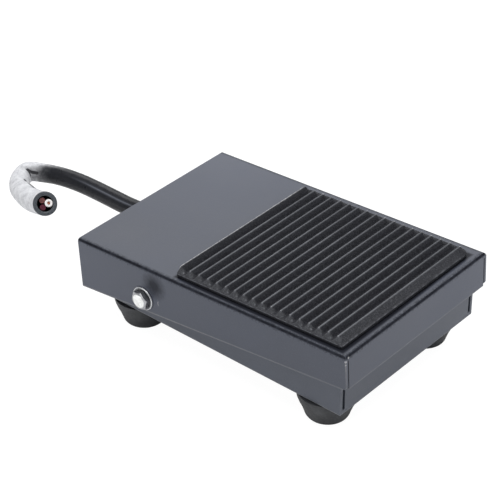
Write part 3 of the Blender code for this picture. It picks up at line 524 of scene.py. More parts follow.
def cover_shade(mat, at, x, y, z, normal, ragged):
    """Everything that darkens the cover, as one mask: painted shade on the folds, a painted shadow
    round the pad, painted shade above the bolt, and the dark seam.
    """
    abs_x = mat.abs(x)
    shade = fold_shade(mat, x, y, z, abs_x, normal)
    # painted shadow round the tread pad, widest at its rear left corner
    gap_x = mat.minus(mat.abs(mat.plus(x, -PAD_SHIFT)), PAD_X)
    gap_y = mat.minus(mat.abs(mat.plus(y, -PAD_MID)), PAD_HALF)
    corner = mat.times(mat.span(x, over=(12.0, -12.0)), mat.span(y, over=(12.0, 4.0)))
    reach = mat.plus(0.95, mat.times(corner, 0.65))
    around = mat.times(mat.span(mat.minus(mat.most(gap_x, gap_y), reach), over=(0.0, -0.9)),
                       mat.span(z, over=(-0.5, -0.05)))
    shade = mat.most(shade, mat.times(around, 0.9))
    # painted shade above the bolt
    away = mat.plus(mat.distance(at, (LEFT, 20.2, -5.0)), mat.times(ragged, 2.2))
    bolt_shade = mat.times(mat.span(away, over=(6.3, 2.4)), mat.span(x, over=(0.0, -1.0)), 0.82)
    shade = mat.most(shade, bolt_shade)
    # the seam where the front flap meets the side flaps
    seam = mat.abs(mat.minus(abs_x, COVER_X - SHEET - 0.1))
    on_front = mat.times(mat.span(y, over=(FRONT + 0.3, FRONT + 0.1)),
                         mat.span(z, over=(-1.2, -1.8)))
    seam = mat.times(mat.span(seam, over=(0.34, 0.12)), on_front)
    return mat.most(shade, mat.times(seam, 0.85))


# Chips where the folds meet: place in the cover frame, reach in mm, noise level they start at
CHIPS = (
    ((LEFT + 0.15, FRONT + 0.15, -1.45), 0.85, 1.10),
    ((LEFT + 0.05, FRONT + 0.05, -2.5), 0.7, 1.16),
    ((LEFT + 1.3, FRONT + 0.2, -0.7), 0.8, 1.2),
    ((COVER_X - 0.3, FRONT + 0.3, -0.6), 0.8, 1.2),
)


def cover_damage(mat, colour, at, x, y, z, ragged):
    """Bright chips, thin paint down the front left corner and a scratch by the bolt."""
    for place, reach, start in CHIPS:
        near = mat.span(mat.distance(at, place), over=(reach, reach * 0.15))
        level = mat.plus(near, mat.noise(scale=3.4, detail=4, rough=0.7))
        chip = mat.span(level, over=(start, start + 0.08))
        colour = mat.mix(mat.times(chip, 0.75), colour, (0.40, 0.40, 0.41))
    corner = mat.times(mat.span(x, over=(LEFT + 0.42, LEFT + 0.12)),
                       mat.span(y, over=(FRONT + 0.42, FRONT + 0.12)))
    down = mat.times(mat.span(z, over=(-1.3, -1.8)),
                     mat.span(z, over=(-9.0, -4.0), to=(0.25, 1.0)))
    thin = mat.times(mat.times(corner, down), mat.span(ragged, over=(0.3, 0.6), to=(0.2, 0.6)))
    colour = mat.mix(thin, colour, (0.20, 0.20, 0.21))
    # the scratch bows about this point on the left flap
    scratch_y, scratch_z = 19.1, -10.6
    sag = mat.times(mat.math("POWER", mat.plus(z, -scratch_z), 2.0), 0.35)
    bow = mat.plus(mat.minus(y, scratch_y), sag)
    ends = mat.times(mat.span(mat.abs(mat.plus(z, -scratch_z)), over=(0.95, 0.5)),
                     mat.span(x, over=(LEFT + 0.3, LEFT + 0.1)))
    scratch = mat.times(mat.span(mat.abs(bow), over=(0.20, 0.08)), ends)
    return mat.mix(mat.times(scratch, 0.7), colour, (0.30, 0.30, 0.32))


def cover_marks(mat, tone, colour, ragged):
    """Painted light and shade: paler flaps and rear top as painted light and sheen, painted shade
    on the folds and round the pad, a pale lower edge as painted highlight, and damaged paint.
    """
    origin = Vector((ORIGIN.x, ORIGIN.y, ORIGIN.z + COVER_TOP))
    back = -(Matrix.Rotation(TILT, 3, "X") @ origin)
    at = mat.mapped(mat.coord["Object"], Scale=(1000, 1000, 1000), Rotation=(TILT, 0, 0),
                    Location=tuple(back))
    facing = mat.mapped(mat.coord["Normal"], kind="VECTOR", Rotation=(TILT, 0, 0))
    normal = mat.split(facing)
    x, y, z = mat.split(at)
    # painted light: the side flaps are paler towards the rear, the front flap towards the right,
    # and the top towards the rear right as a painted sheen
    pale = scaled(tone, 1.42)
    lit_side = mat.times(mat.span(mat.abs(normal[0]), over=(0.8, 0.95)),
                        mat.span(y, over=(-20.0, COVER_Y), to=(0.0, 0.75)))
    on_front = mat.times(mat.span(mat.abs(normal[1]), over=(0.8, 0.95)),
                         mat.span(x, over=(LEFT, COVER_X), to=(0.30, 0.85)))
    colour = mat.mix(mat.most(lit_side, on_front), colour, pale)
    rear_right = mat.times(mat.span(y, over=(0.0, 40.0)),
                           mat.span(x, over=(-14.0, 26.0), to=(0.0, 0.75)))
    on_top = mat.times(mat.span(normal[2], over=(0.9, 0.99)), rear_right)
    colour = mat.mix(on_top, colour, pale)
    shade = cover_shade(mat, at, x, y, z, normal, ragged)
    # the painted shade and shadow, with the dark seam, mixed towards near black
    colour = mat.mix(mat.times(shade, 0.88), colour, (0.006, 0.006, 0.008))
    # height above the sloping lower edge, where a painted highlight runs along the cut rim
    edge = mat.plus(mat.times(mat.plus(y, COVER_Y), FLAP_SLOPE), FRONT_DEPTH)
    rim = mat.times(mat.span(mat.plus(z, edge), over=(0.55, 0.25)),
                    mat.span(y, over=(FRONT, 20.0), to=(0.6, 1.25)),
                    mat.span(ragged, over=(0.25, 0.6), to=(0.55, 1.0)))
    colour = cover_damage(mat, colour, at, x, y, z, ragged)
    return colour, rim, mat.minus(COAT_SPEC, mat.times(shade, 0.36))


# ---- metals -----------------------------------------------------------------------------------


def plated(name, tone, rough, stretch):
    """Bright plate with fine turning or drawing marks, dulled patches and dark spots."""
    mat = Look(name)
    marks = mat.noise(scale=1.6, stretch=stretch)
    cloud = mat.noise(scale=0.7, rough=0.5)
    dull = tuple(v * c for v, c in zip(tone, (0.80, 0.80, 0.79)))
    colour = mat.mix(mat.span(cloud, over=(0.35, 0.7)), tone, dull)
    spots = mat.span(mat.noise(scale=2.4, rough=0.7), over=(0.62, 0.72), to=(0.0, 0.6))
    colour = mat.mix(spots, colour, scaled(tone, 0.45))
    uneven = mat.plus(marks, mat.times(cloud, 0.5))
    roughness = mat.span(uneven, over=(0.4, 1.1), to=(rough * 0.8, rough * 1.7))
    normal = mat.bump(marks, depth=0.012, strength=0.5)
    mat.finish(colour=colour, rough=roughness, metal=1.0, normal=normal)


def washer_plate():
    """Dull stamped washer with a painted highlight on its rim, and small pits."""
    mat = Look("washer_zinc")
    place = mat.split(mat.mm)
    dy = mat.minus(place[1], ORIGIN.y + PIVOT_Y)
    dz = mat.minus(place[2], ORIGIN.z + PIVOT_Z)
    away = mat.math("SQRT", mat.plus(mat.times(dy, dy), mat.times(dz, dz)))
    pits = mat.span(mat.noise(scale=2.6, detail=4, rough=0.75), over=(0.42, 0.62))
    cloud = mat.noise(scale=0.8, rough=0.5)
    face = mat.mix(pits, (0.030, 0.031, 0.036), (0.30, 0.305, 0.32))
    face = mat.mix(mat.span(cloud, over=(0.35, 0.7)), face, (0.10, 0.103, 0.112))
    # painted highlight: the outer rim is made bright
    colour = mat.mix(mat.span(away, over=(3.48, 3.62)), face, (0.66, 0.67, 0.68))
    mat.finish(colour=colour, rough=mat.span(cloud, to=(0.3, 0.46)), metal=0.85,
               normal=mat.bump(pits, depth=0.03, strength=0.6))


def copper():
    mat = Look("copper_wire")
    twist = mat.noise(scale=2.0)
    colour = mat.mix(mat.span(twist, over=(0.35, 0.65)), (0.34, 0.12, 0.07), (0.62, 0.30, 0.19))
    mat.finish(colour=colour, rough=mat.span(twist, to=(0.2, 0.4)), metal=1.0,
               normal=mat.bump(twist, depth=0.02, strength=0.4))


# ---- rubber, plastic and card -----------------------------------------------------------------


def moulded(name, tone, rough, grain, depth, vary, sub):
    """Moulded plastic or rubber: matte grain, faint flow marks and dust."""
    mat = Look(name)
    fine = mat.noise(scale=grain)
    flow = mat.noise(scale=0.12, rough=0.5, distortion=0.6)
    colour = mat.mix(mat.span(flow), scaled(tone, 1 - vary), scaled(tone, 1 + vary))
    dust = mat.noise(scale=grain * 1.7, detail=4, rough=0.7)
    dust = mat.span(dust, over=(0.6, 0.78), to=(0.0, 0.22))
    colour = mat.mix(dust, colour, scaled(tone, 1.6, lift=0.03))
    roughness = mat.span(fine, to=(rough * 0.85, min(1.0, rough * 1.2)))
    normal = mat.bump(fine, depth=depth, strength=0.6)
    mat.finish(colour=colour, rough=roughness, normal=normal, spec=0.5, sub=sub)


def pad_rubber():
    """Black rubber, pale along the crests from wear and painted highlight, pitted and dusty on the
    sloped rim.
    """
    mat = Look("tread_rubber")
    crest = mat.attribute("crest")
    rim = mat.attribute("rim")
    grain = mat.noise(scale=1.7, detail=4, rough=0.7)
    fleck = mat.noise(scale=2.7, rough=0.7)
    base = mat.mix(mat.span(grain), (0.0030, 0.0032, 0.0045), (0.0185, 0.0195, 0.026))
    dusty = mat.times(rim, mat.span(grain, over=(0.25, 0.65), to=(0.35, 0.9)))
    base = mat.mix(dusty, base, (0.062, 0.064, 0.071))
    specks = mat.times(mat.span(fleck, over=(0.50, 0.68)),
                       mat.span(rim, over=(0.0, 1.0), to=(0.24, 0.55)))
    colour = mat.mix(specks, base, (0.13, 0.134, 0.145))
    wear_and_highlight = mat.math("MINIMUM", crest, 1.0)
    broken = mat.noise(scale=0.5, detail=4, rough=0.7)
    # the crest lines: partly wear, partly painted highlight
    line = mat.times(wear_and_highlight, mat.span(broken, over=(0.25, 0.65), to=(0.45, 1.0)))
    colour = mat.mix(mat.times(line, 0.85), colour, (0.128, 0.134, 0.150))
    # crest values above 1 are painted highlights, almost white
    bright = mat.times(mat.span(crest, over=(1.1, 2.0)), mat.span(fleck, over=(0.35, 0.6)))
    colour = mat.mix(bright, colour, (0.42, 0.42, 0.43))
    rough = mat.minus(mat.span(grain, to=(0.62, 0.85)), mat.times(wear_and_highlight, 0.16))
    height = mat.plus(mat.times(grain, 0.7), mat.times(mat.cells(scale=1.6), 0.5))
    mat.finish(colour=colour, rough=rough, normal=mat.bump(height, depth=0.09, strength=0.7),
               spec=mat.plus(0.2, mat.times(wear_and_highlight, 0.2)))


def foot_rubber():
    mat = Look("foot_rubber")
    grain = mat.noise(scale=1.4, detail=4, rough=0.65)
    cloud = mat.noise(scale=0.22, rough=0.5)
    base = mat.mix(mat.span(cloud), (0.020, 0.021, 0.024), (0.040, 0.042, 0.046))
    dust = mat.span(mat.noise(scale=3.0, rough=0.7), over=(0.6, 0.75), to=(0.0, 0.4))
    colour = mat.mix(dust, base, (0.11, 0.115, 0.12))
    mat.finish(colour=colour, rough=mat.span(grain, to=(0.42, 0.62)),
               normal=mat.bump(grain, depth=0.05, strength=0.6), spec=0.5)


def jacket():
    """Cable jacket: glossy black near the body, chalky grey further out, dark on its cut face,
    with painted shade in its creases and along a line beyond the kink, and a painted highlight
    streak."""
    mat = Look("cable_jacket")
    pale, cut, crease_shade, highlight_streak = map(mat.attribute, ("pale", "cut", "crease_shade", "highlight_streak"))
    mottle = mat.noise(scale=0.55, detail=5, rough=0.68)
    fine = mat.noise(scale=2.2, detail=4, rough=0.7)
    streak = mat.noise(scale=1.2, stretch=(0.5, 0.5, 0.5))
    uneven = mat.times(mat.minus(mottle, 0.5), 0.34)
    fade = mat.span(mat.plus(pale, uneven), over=(0.10, 0.97))
    black = mat.mix(mat.span(mottle, over=(0.35, 0.7)),
                    (0.0115, 0.0122, 0.0150), (0.0170, 0.0180, 0.0220))
    # painted highlight streak on the black part
    black = mat.mix(highlight_streak, black, (0.105, 0.112, 0.132))
    chalk = mat.mix(mat.span(mottle, over=(0.34, 0.62)), (0.46, 0.465, 0.49), (0.66, 0.665, 0.685))
    chalk = mat.mix(mat.span(fine, over=(0.56, 0.72), to=(0.0, 0.35)), chalk, (0.74, 0.745, 0.75))
    colour = mat.mix(mat.math("POWER", fade, 1.8), black, chalk)
    # painted shade in the creases and along the dark line
    painted_crease_shade = mat.times(mat.span(crease_shade, over=(0.18, 0.62)), 0.95)
    colour = mat.mix(painted_crease_shade, colour, (0.010, 0.010, 0.013))
    face = mat.mix(mat.span(fine, over=(0.35, 0.65)), (0.045, 0.052, 0.060), (0.095, 0.104, 0.115))
    colour = mat.mix(cut, colour, face)
    height = mat.plus(mat.times(mottle, 0.4), mat.times(fine, 0.6))
    strength = mat.span(mat.most(fade, cut), over=(0, 1), to=(0.05, 0.8))
    mat.finish(colour=colour, rough=mat.scalar(fade, mat.span(streak, to=(0.27, 0.31)), 0.72),
               normal=mat.bump(height, depth=0.05, strength=strength),
               spec=mat.scalar(fade, 0.21, 0.4))


def card():
    mat = Look("insulating_card")
    fibre = mat.noise(scale=1.2, detail=4, rough=0.7, stretch=(0.3, 1.6, 1.6))
    colour = mat.mix(mat.span(fibre), (0.23, 0.17, 0.10), (0.42, 0.33, 0.21))
    mat.finish(colour=colour, rough=mat.span(fibre, to=(0.7, 0.9)),
               normal=mat.bump(fibre, depth=0.05, strength=0.7))


# name, tone, roughness, stretch of the marks along x, y, z
PLATINGS = (
    ("zinc_plate", (0.70, 0.71, 0.73), 0.22, (0.6, 6, 6)),
    # painted light: the bolt's face is a bright lit copy of the zinc, its head a dark shaded copy
    ("zinc_lit_face", (0.86, 0.87, 0.86), 0.2, (0.6, 6, 6)),
    ("zinc_shaded_head", (0.40, 0.405, 0.42), 0.26, (0.6, 6, 6)),
    ("spring_steel", (0.50, 0.51, 0.53), 0.28, (3, 3, 3)),
    ("bracket_steel", (0.58, 0.59, 0.60), 0.38, (0.4, 3, 0.4)),
    ("silvered_brass", (0.76, 0.71, 0.60), 0.26, (4, 0.5, 4)),
)
# name, tone, roughness, grain scale, grain depth in mm, tone variation, subsurface
MOULDINGS = (
    ("nylon", (0.66, 0.64, 0.57), 0.42, 1.2, 0.02, 0.08, 0.05),
    ("black_nylon", (0.022, 0.022, 0.025), 0.42, 1.4, 0.03, 0.25, 0.0),
    ("switch_plastic", (0.028, 0.028, 0.032), 0.38, 1.5, 0.03, 0.25, 0.0),
    ("switch_lid_plastic", (0.10, 0.022, 0.016), 0.40, 1.5, 0.03, 0.25, 0.0),
    ("plunger_plastic", (0.50, 0.045, 0.035), 0.36, 1.5, 0.02, 0.12, 0.0),
    ("grommet_rubber", (0.022, 0.022, 0.025), 0.55, 1.3, 0.05, 0.25, 0.0),
    ("adhesive_film", (0.07, 0.07, 0.075), 0.75, 0.8, 0.05, 0.25, 0.0),
    ("core_red_pvc", (0.085, 0.010, 0.024), 0.36, 1.8, 0.02, 0.3, 0.0),
    ("core_white_pvc", (0.86, 0.83, 0.82), 0.38, 1.8, 0.02, 0.05, 0.0),
    ("core_brown_pvc", (0.13, 0.045, 0.042), 0.34, 1.8, 0.02, 0.35, 0.0),
)
powder("powder_coat_cover", (0.050, 0.0565, 0.077), cover_marks)
powder("powder_coat_tray", (0.0635, 0.0715, 0.092), tray_marks)
pad_rubber()
foot_rubber()
for row in PLATINGS:
    plated(*row)
washer_plate()
for row in MOULDINGS:
    moulded(*row)
copper()
jacket()
card()

# ---- pedal cover ------------------------------------------------------------------------------

SEAM = 0.25  # gap between the front flap and each side flap
NOSE = 1.4  # radius of the side flaps' lower front corners
BEYOND = 6  # how far the cutter for the lower edge runs past the cover


def cover_shell():
    def outer_folds(a, b):
        """The top's edges, all but the rear one."""
        at_rear = a.y > COVER_Y - 0.01 and b.y > COVER_Y - 0.01
        return a.z > -0.01 and b.z > -0.01 and not at_rear

    def inner_folds(a, b):
        return a.z > -SHEET - 0.01 and b.z > -SHEET - 0.01

    outer = bevelled(block(LEFT, COVER_X, FRONT, COVER_Y, -22, 0), outer_folds, 1.0, 8)
    inner = bevelled(
        block(LEFT + SHEET, COVER_X - SHEET, FRONT + SHEET, COVER_Y + 8, -30, -SHEET),
        inner_folds, 0.3, 3)
    below = [
        (FRONT - BEYOND, -30.0), (FRONT - BEYOND, -FRONT_DEPTH), (FRONT, -FRONT_DEPTH),
        (COVER_Y + BEYOND, -REAR_DEPTH - BEYOND * FLAP_SLOPE), (COVER_Y + BEYOND, -30.0)]
    corner = [(FRONT - 1, -FRONT_DEPTH - 1), (FRONT - 1, -FRONT_DEPTH + NOSE)]
    corner += arc(FRONT + NOSE, -FRONT_DEPTH + NOSE, NOSE, 180, 270, 9)
    corner += [(FRONT + NOSE, -FRONT_DEPTH - 1)]
    hole_y = COS_TILT * PIVOT_Y - SIN_TILT * (PIVOT_Z - COVER_TOP)
    hole_z = SIN_TILT * PIVOT_Y + COS_TILT * (PIVOT_Z - COVER_TOP)
    tools = [inner, prism(below, -40, 40)]
    for sign in (-1, 1):
        span = sorted((sign * (COVER_X - SHEET - SEAM / 2), sign * (COVER_X + 3)))
        tools.append(prism(corner, *span))
        span = sorted((sign * (COVER_X - SHEET), sign * (COVER_X - SHEET - SEAM)))
        tools.append(block(*span, FRONT - 1, FRONT + SHEET + 0.02, -25, -1.5))
        hole = moved(pin(PIVOT_HOLE, -2, 2, 36), along_x)
        tools.append(shifted(hole, sign * (COVER_X - 0.5), hole_y, hole_z))
    piece("cover_shell", eased(carve(outer, tools), 0.09), "powder_coat_cover", "pedal", cover_mm,
          smooth=50, weighted=True, stands_for=["pedal_cover"])


cover_shell()

# ---- tread pad: a height field over rows and columns, with a skirt down to the cover ----------

LIFT = 0.3  # underside above the cover
LOW, TOP = 0.9, 2.5  # grooves and crests above the underside
RIM, FLANGE, REACH = 1.6, 0.5, 0.95  # slope's width, flat border, extra slope at the grooves
PITCH, FIRST, COUNT = 3.39, 12.1, 18  # ribs, counted from the rear
LAST = FIRST - (COUNT - 1) * PITCH
INSET = 0.14  # the height field stops this far inside the outline
# Rows of points: either side of a crest, and in front of one
CREST_ROWS = (0.06, 0.16, 0.24, 0.36, 0.62)
GROOVE_ROWS = (0.9, 1.15, 1.38, 1.5, 1.6, 1.695, 1.79, 1.89, 2.01, 2.24, 2.49)
# Rows behind the first rib, and in from the front of the height field
REAR_ROWS = (0.42, 0.5, 0.58, 0.66)
FRONT_ROWS = (0.0, 0.35, 0.7, 1.05, 1.4, 1.75, 2.1, 2.4)
# Skirt rings: gap inside the outline, then drop below the field or a height of its own
SKIRT = ((0.045, 0.05, None), (0.0, 0.15, None), (0.0, None, LIFT + 0.08), (0.06, None, LIFT))


def smooth_min(a, b, width):
    overlap = max(width - abs(a - b), 0.0) / width
    return min(a, b) - overlap * overlap * width * 0.25


def behind_crest(y):
    """Distance behind the nearest crest, negative in front of it."""
    return (y - FIRST + PITCH / 2) % PITCH - PITCH / 2


def from_crest(y):
    """Distance from the nearest rib's crest, 0 to half the pitch."""
    if y > FIRST:
        return min(y - FIRST, PITCH / 2)
    if y < LAST:
        return min(LAST - y, PITCH / 2)
    return abs(behind_crest(y))


def rib_height(y):
    """Height of the ribbed face in the middle of the pad."""
    if y > FIRST:
        down = (y - FIRST - 0.66) / (PAD_REAR - FIRST - 0.66) * (TOP - LOW)
        return smooth_min(TOP, TOP - down, 0.08)
    if y < LAST:
        down = (LAST - 0.15 - y) / (LAST - 0.15 - PAD_FRONT) * (TOP - LOW)
        return smooth_min(TOP, TOP - down, 0.12)
    down = TOP - (abs(behind_crest(y)) - 0.17) / (PITCH / 2 - 0.42) * (TOP - LOW)
    return -smooth_min(-smooth_min(TOP, down, 0.12), -LOW, 0.2)


def rib_end(y):
    """How far in from the side the rib's end face begins: the crests reach out furthest."""
    return RIM + REACH * from_crest(y) / (PITCH / 2)


def pad_height(side, y):
    """side is the distance in from the pad's left or right edge."""
    height, line = rib_height(y), rib_end(y)
    if side < line + 0.2:
        ramp = smooth_min(1.0, (side - FLANGE) / (line - FLANGE), 0.08)
        height = LOW + (height - LOW) * max(0.0, ramp)
    return height


def corner_radius(x, y):
    """The left corners are nearly sharp, the right ones rounded, the front one most."""
    if y < PAD_MID:
        return 0.7 if x < 0 else 3.4
    return 1.1 if x < 0 else 2.2


def into_outline(x, y):
    """The nearest point inside the height field's rounded outline."""
    half_x, half_y = PAD_X - INSET, PAD_HALF - INSET
    radius = corner_radius(x, y) - INSET
    out_x, out_y = min(abs(x), half_x), min(abs(y - PAD_MID), half_y)
    past_x, past_y = out_x - (half_x - radius), out_y - (half_y - radius)
    if past_x > 0 and past_y > 0:
        # squeeze the corner's square of points into its quarter circle
        longest = max(past_x, past_y)
        length = math.hypot(past_x, past_y)
        out_x = half_x - radius + past_x / length * longest
        out_y = half_y - radius + past_y / length * longest
    return math.copysign(out_x, x), PAD_MID + math.copysign(out_y, y - PAD_MID)


def pushed_out(x, y, out):
    """A point on the height field's border moved outwards."""
    half_x, half_y = PAD_X - INSET, PAD_HALF - INSET
    radius = corner_radius(x, y) - INSET
    past_x, past_y = abs(x) - (half_x - radius), abs(y - PAD_MID) - (half_y - radius)
    if past_x > 0 and past_y > 0:
        length = math.hypot(past_x, past_y) or 1.0
        return (x + math.copysign(past_x / length * out, x),
                y + math.copysign(past_y / length * out, y - PAD_MID))
    if past_x > 0 and abs(abs(x) - half_x) < 1e-3:
        return x + math.copysign(out, x), y
    return x, y + math.copysign(out, y - PAD_MID)


def edge_highlight(x, y):
    """The painted highlight along the outline: even at the rear, broken up on the sides, faint at
    the front.
    """
    wander = noise.noise(Vector((x * 0.8, y * 0.8, 11.0)))
    if y > PAD_REAR - INSET - 0.05:
        return 0.4 + 0.3 * wander
    if abs(x) > PAD_X - INSET - 0.05:
        return max(0.0, 0.55 + 1.1 * wander)
    return max(0.0, 0.25 + 0.8 * wander)


def rim_dust(x, y, side):
    """How dusty the sloped rim is, 0 to 1."""
    line = rib_end(y)
    dust = 1.0 - step(line - 0.15, line + 0.25, side)
    in_groove = step(0.75, 1.5, from_crest(y))
    dust *= 1.0 - 0.85 * in_groove * step(FLANGE + 0.1, FLANGE + 0.5, side)
    dust *= 0.38 + 0.62 * step(FLANGE - 0.05, FLANGE + 0.25, side)
    if y < LAST - 0.3:
        dust = max(dust, 0.36)
    if x > 0:
        dust *= 1.0 - 0.65 * step(PAD_X - 6.0, PAD_X - 3.5, x)
    return dust


def crest_highlight_and_wear(x, y, side):
    """How pale the rubber is made, partly wear and partly painted highlight: crests, front flanks,
    rear arris, rib tips and outline.
    """
    ahead = -behind_crest(y)
    line = rib_end(y)
    on_crest = 1.0 - step(0.13, 0.40, abs(ahead))
    flank = 0.05 * step(0.25, 0.45, ahead) * (1.0 - step(0.75, 1.25, ahead))
    if y < LAST - 0.5 or y > FIRST - 0.3:
        on_crest, flank = 0.0, 0.0
    # painted highlight along the rear arris
    rear = step(FIRST + 0.28, FIRST + 0.42, y) * (1.0 - step(FIRST + 0.70, FIRST + 0.80, y))
    rear *= 2.0 + 0.7 * noise.noise(Vector((x * 0.6, 2.0, 4.0)))
    wear_and_highlight = step(RIM - 0.25, RIM + 0.2, side) * (1.0 - 0.22 * step(4.0, 20.0, x))
    # each end of each rib has its own chance of a bright tip, a painted highlight
    rib = round((y - ahead - FIRST) / PITCH)
    chance = noise.noise(Vector((rib * 7.3, 5.0 if x > 0 else 9.0, 1.0)))
    tip = step(RIM - 0.3, RIM, side) * (1.0 - step(RIM + 0.1, RIM + 0.6, side))
    tip *= (max(0.0, 1.6 + 1.6 * chance) if x > 0 else 0.5) * on_crest
    if x < 0:
        spot = math.exp(-(((side - 1.3) / 0.22) ** 2) - ((ahead - 1.1) / 0.22) ** 2)
        tip += 2.4 * max(0.0, 0.4 + chance) * spot
    value = on_crest * wear_and_highlight + rear * step(1.0, 1.7, side) + flank * step(line, line + 0.4, side)
    value += tip * (1.0 + 0.8 * noise.noise(Vector((y * 1.3, 5.0, 1.0))))
    if min(side, PAD_REAR - y, y - PAD_FRONT) < INSET + 0.03:
        value = max(value, edge_highlight(x, y))
    return value


def pad_rows():
    rows = []
    for k in range(COUNT):
        crest = FIRST - k * PITCH
        rows += [crest + offset for offset in CREST_ROWS]
        rows += [crest - offset for offset in CREST_ROWS]
        if k < COUNT - 1:
            rows += [crest - offset for offset in GROOVE_ROWS]
    rows = [y for y in rows if PAD_FRONT + 0.3 < y < PAD_REAR - INSET - 0.05]
    rows += [PAD_REAR - INSET] + [FIRST + offset for offset in REAR_ROWS]
    rows += [PAD_FRONT + INSET + offset for offset in FRONT_ROWS]
    return sorted(set(round(y, 4) for y in rows))


def pad_columns():
    """Wide in the middle, close over the rims."""
    columns = list(np.arange(0, PAD_X - 3.5, 0.45))
    columns += list(np.arange(PAD_X - 3.4, PAD_X - INSET - 0.05, 0.16)) + [PAD_X - INSET]
    columns = [round(float(x), 4) for x in columns]
    return sorted(set(columns + [-x for x in columns]))


def tread_pad():
    columns, rows = pad_columns(), pad_rows()
    wide, deep = len(columns), len(rows)
    verts, faces, crest, rim = [], [], [], []
    for row in rows:
        for column in columns:
            x, y = into_outline(column, row)
            side = PAD_X - abs(x)
            dust = rim_dust(x, y, side)
            grain = noise.noise(Vector((x * 1.3, y * 1.3, 0.0))) * 0.030
            grain += noise.noise(Vector((x * 2.9, y * 2.9, 7.0))) * 0.022
            verts.append((x, y, LIFT + pad_height(side, y) + grain * (1.0 + 0.8 * dust)))
            crest.append(crest_highlight_and_wear(x, y, side))
            rim.append(dust)
    for j in range(deep - 1):
        for i in range(wide - 1):
            a = j * wide + i
            faces.append((a, a + 1, a + wide + 1, a + wide))
    border = list(range(wide)) + [j * wide + wide - 1 for j in range(1, deep)]
    border += [(deep - 1) * wide + i for i in range(wide - 2, -1, -1)]
    border += [j * wide for j in range(deep - 2, 0, -1)]
    previous = border
    for number, (gap, drop, height) in enumerate(SKIRT):
        ring = []
        for index in border:
            x, y, z = verts[index]
            ring.append(len(verts))
            z = height if drop is None else z - drop
            verts.append((*pushed_out(x, y, INSET - gap), z))
            crest.append(edge_highlight(x, y) if number == 0 else 0.0)
            rim.append(0.45 if number == 0 else 0.0)
        for i in range(len(border)):
            j = (i + 1) % len(border)
            faces.append((previous[i], previous[j], ring[j], ring[i]))
        previous = ring
    faces.append(tuple(previous))
    piece("tread_rubber", shifted((verts, faces), PAD_SHIFT, 0, 0), "tread_rubber", "pedal",
          cover_mm, smooth=75, stands_for=["tread_pad"],
          attributes={"crest": crest, "rim": rim})


tread_pad()

# ---- base tray --------------------------------------------------------------------------------


def base_pan():
    outer = bevelled(block(-TRAY_X, TRAY_X, TRAY_FRONT, TRAY_REAR, 0, WALL),
                     lambda a, b: a.z < 0.01 and b.z < 0.01, 0.5, 6)
    hollow = block(-TRAY_X + SHEET, TRAY_X - SHEET, TRAY_FRONT + SHEET, TRAY_REAR - SHEET,
                   SHEET, WALL + 5)
    tools = [bevelled(hollow, lambda a, b: a.z < SHEET + 0.01 and b.z < SHEET + 0.01, 0.3, 3)]
    # slots through the end walls, beside the side walls
    for sign in (-1, 1):
        span = sorted((sign * (TRAY_X - SHEET), sign * (TRAY_X - 2)))
        for y0, y1 in ((TRAY_FRONT - 1, TRAY_FRONT + 1.02), (TRAY_REAR - 1.02, TRAY_REAR + 1)):
            tools.append(block(*span, y0, y1, 1.6, WALL + 3))
    # holes in the floor: the feet, two small ones on the left, and the spring's
    for x in (-FOOT_X, FOOT_X):
        for y in (FOOT_FRONT, FOOT_REAR):
            tools.append(shifted(pin(1.7, -2, 3, 28), x, y, 0))
    for y in (-17.5, -6.5):
        tools.append(shifted(pin(1.45, -2, 3, 24), -8.6, y, 0))
    tools.append(shifted(pin(1.7, -2, 3, 28), 0, SPRING_Y, 0))
    # holes in the walls: the pivot's and the cable's
    for x in (-TRAY_X + 0.5, TRAY_X - 0.5):
        hole = moved(pin(PIVOT_HOLE, -2, 2, 28), along_x)
        tools.append(shifted(hole, x, PIVOT_Y, PIVOT_Z))
    tools.append(shifted(moved(pin(4.15, -2, 2, 48), along_y), 0, TRAY_REAR - 0.5, CABLE_Z))
    piece("base_pan", eased(carve(outer, tools), 0.09), "powder_coat_tray", "base", tray_mm,
          smooth=50, weighted=True, stands_for=["base_tray"])


base_pan()

# ---- feet -------------------------------------------------------------------------------------

# place, x, y, turn of the screw's slots in degrees
FEET = (
    ("front_left", -FOOT_X, FOOT_FRONT, 15), ("front_right", FOOT_X, FOOT_FRONT, 50),
    ("rear_left", -FOOT_X, FOOT_REAR, 74), ("rear_right", FOOT_X, FOOT_REAR, 31),
)
# radius and height below the tray, from the screw hole round the tread and up the outside
FOOT_PROFILE = [(1.75, -0.12), (1.75, -4.9), (3.1, -4.9), (3.25, -9.35), (3.45, -9.5)]
FOOT_PROFILE += arc(6.8 - 2.4, -9.5 + 2.4, 2.4, -90, -8, 9)
FOOT_PROFILE += [(7.6, -5.1), (8.35, -3.4), (8.85, -2.0), (9.1, -0.9), (9.1, -0.25),
                 (8.98, -0.12)]


def foot(tag):
    node = "foot_" + tag
    low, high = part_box(node)
    centre = (low + high) * 500
    top = high.z * 1000 + 0.1
    seed = len(node) * 3.1 - 15.5 if False else len(tag) * 3.1

    def wave(radius, z, angle):
        place = Vector((math.cos(angle) * 2.2, math.sin(angle) * 2.2, z * 0.4 + seed))
        return 0.035 * noise.noise(place) * (1.0 if radius > 4 else 0.2)

    piece("rubber_" + node, lathe(FOOT_PROFILE, 72, cyclic=True, wobble=wave), "foot_rubber",
          "base", lambda p: Vector((centre.x + p[0], centre.y + p[1], top + p[2])), smooth=42,
          stands_for=[node])


for tag, x, y, turn in FEET:
    foot(tag)

# ---- pivot bolt, washers and nut --------------------------------------------------------------

ACROSS_FLATS = 5.5


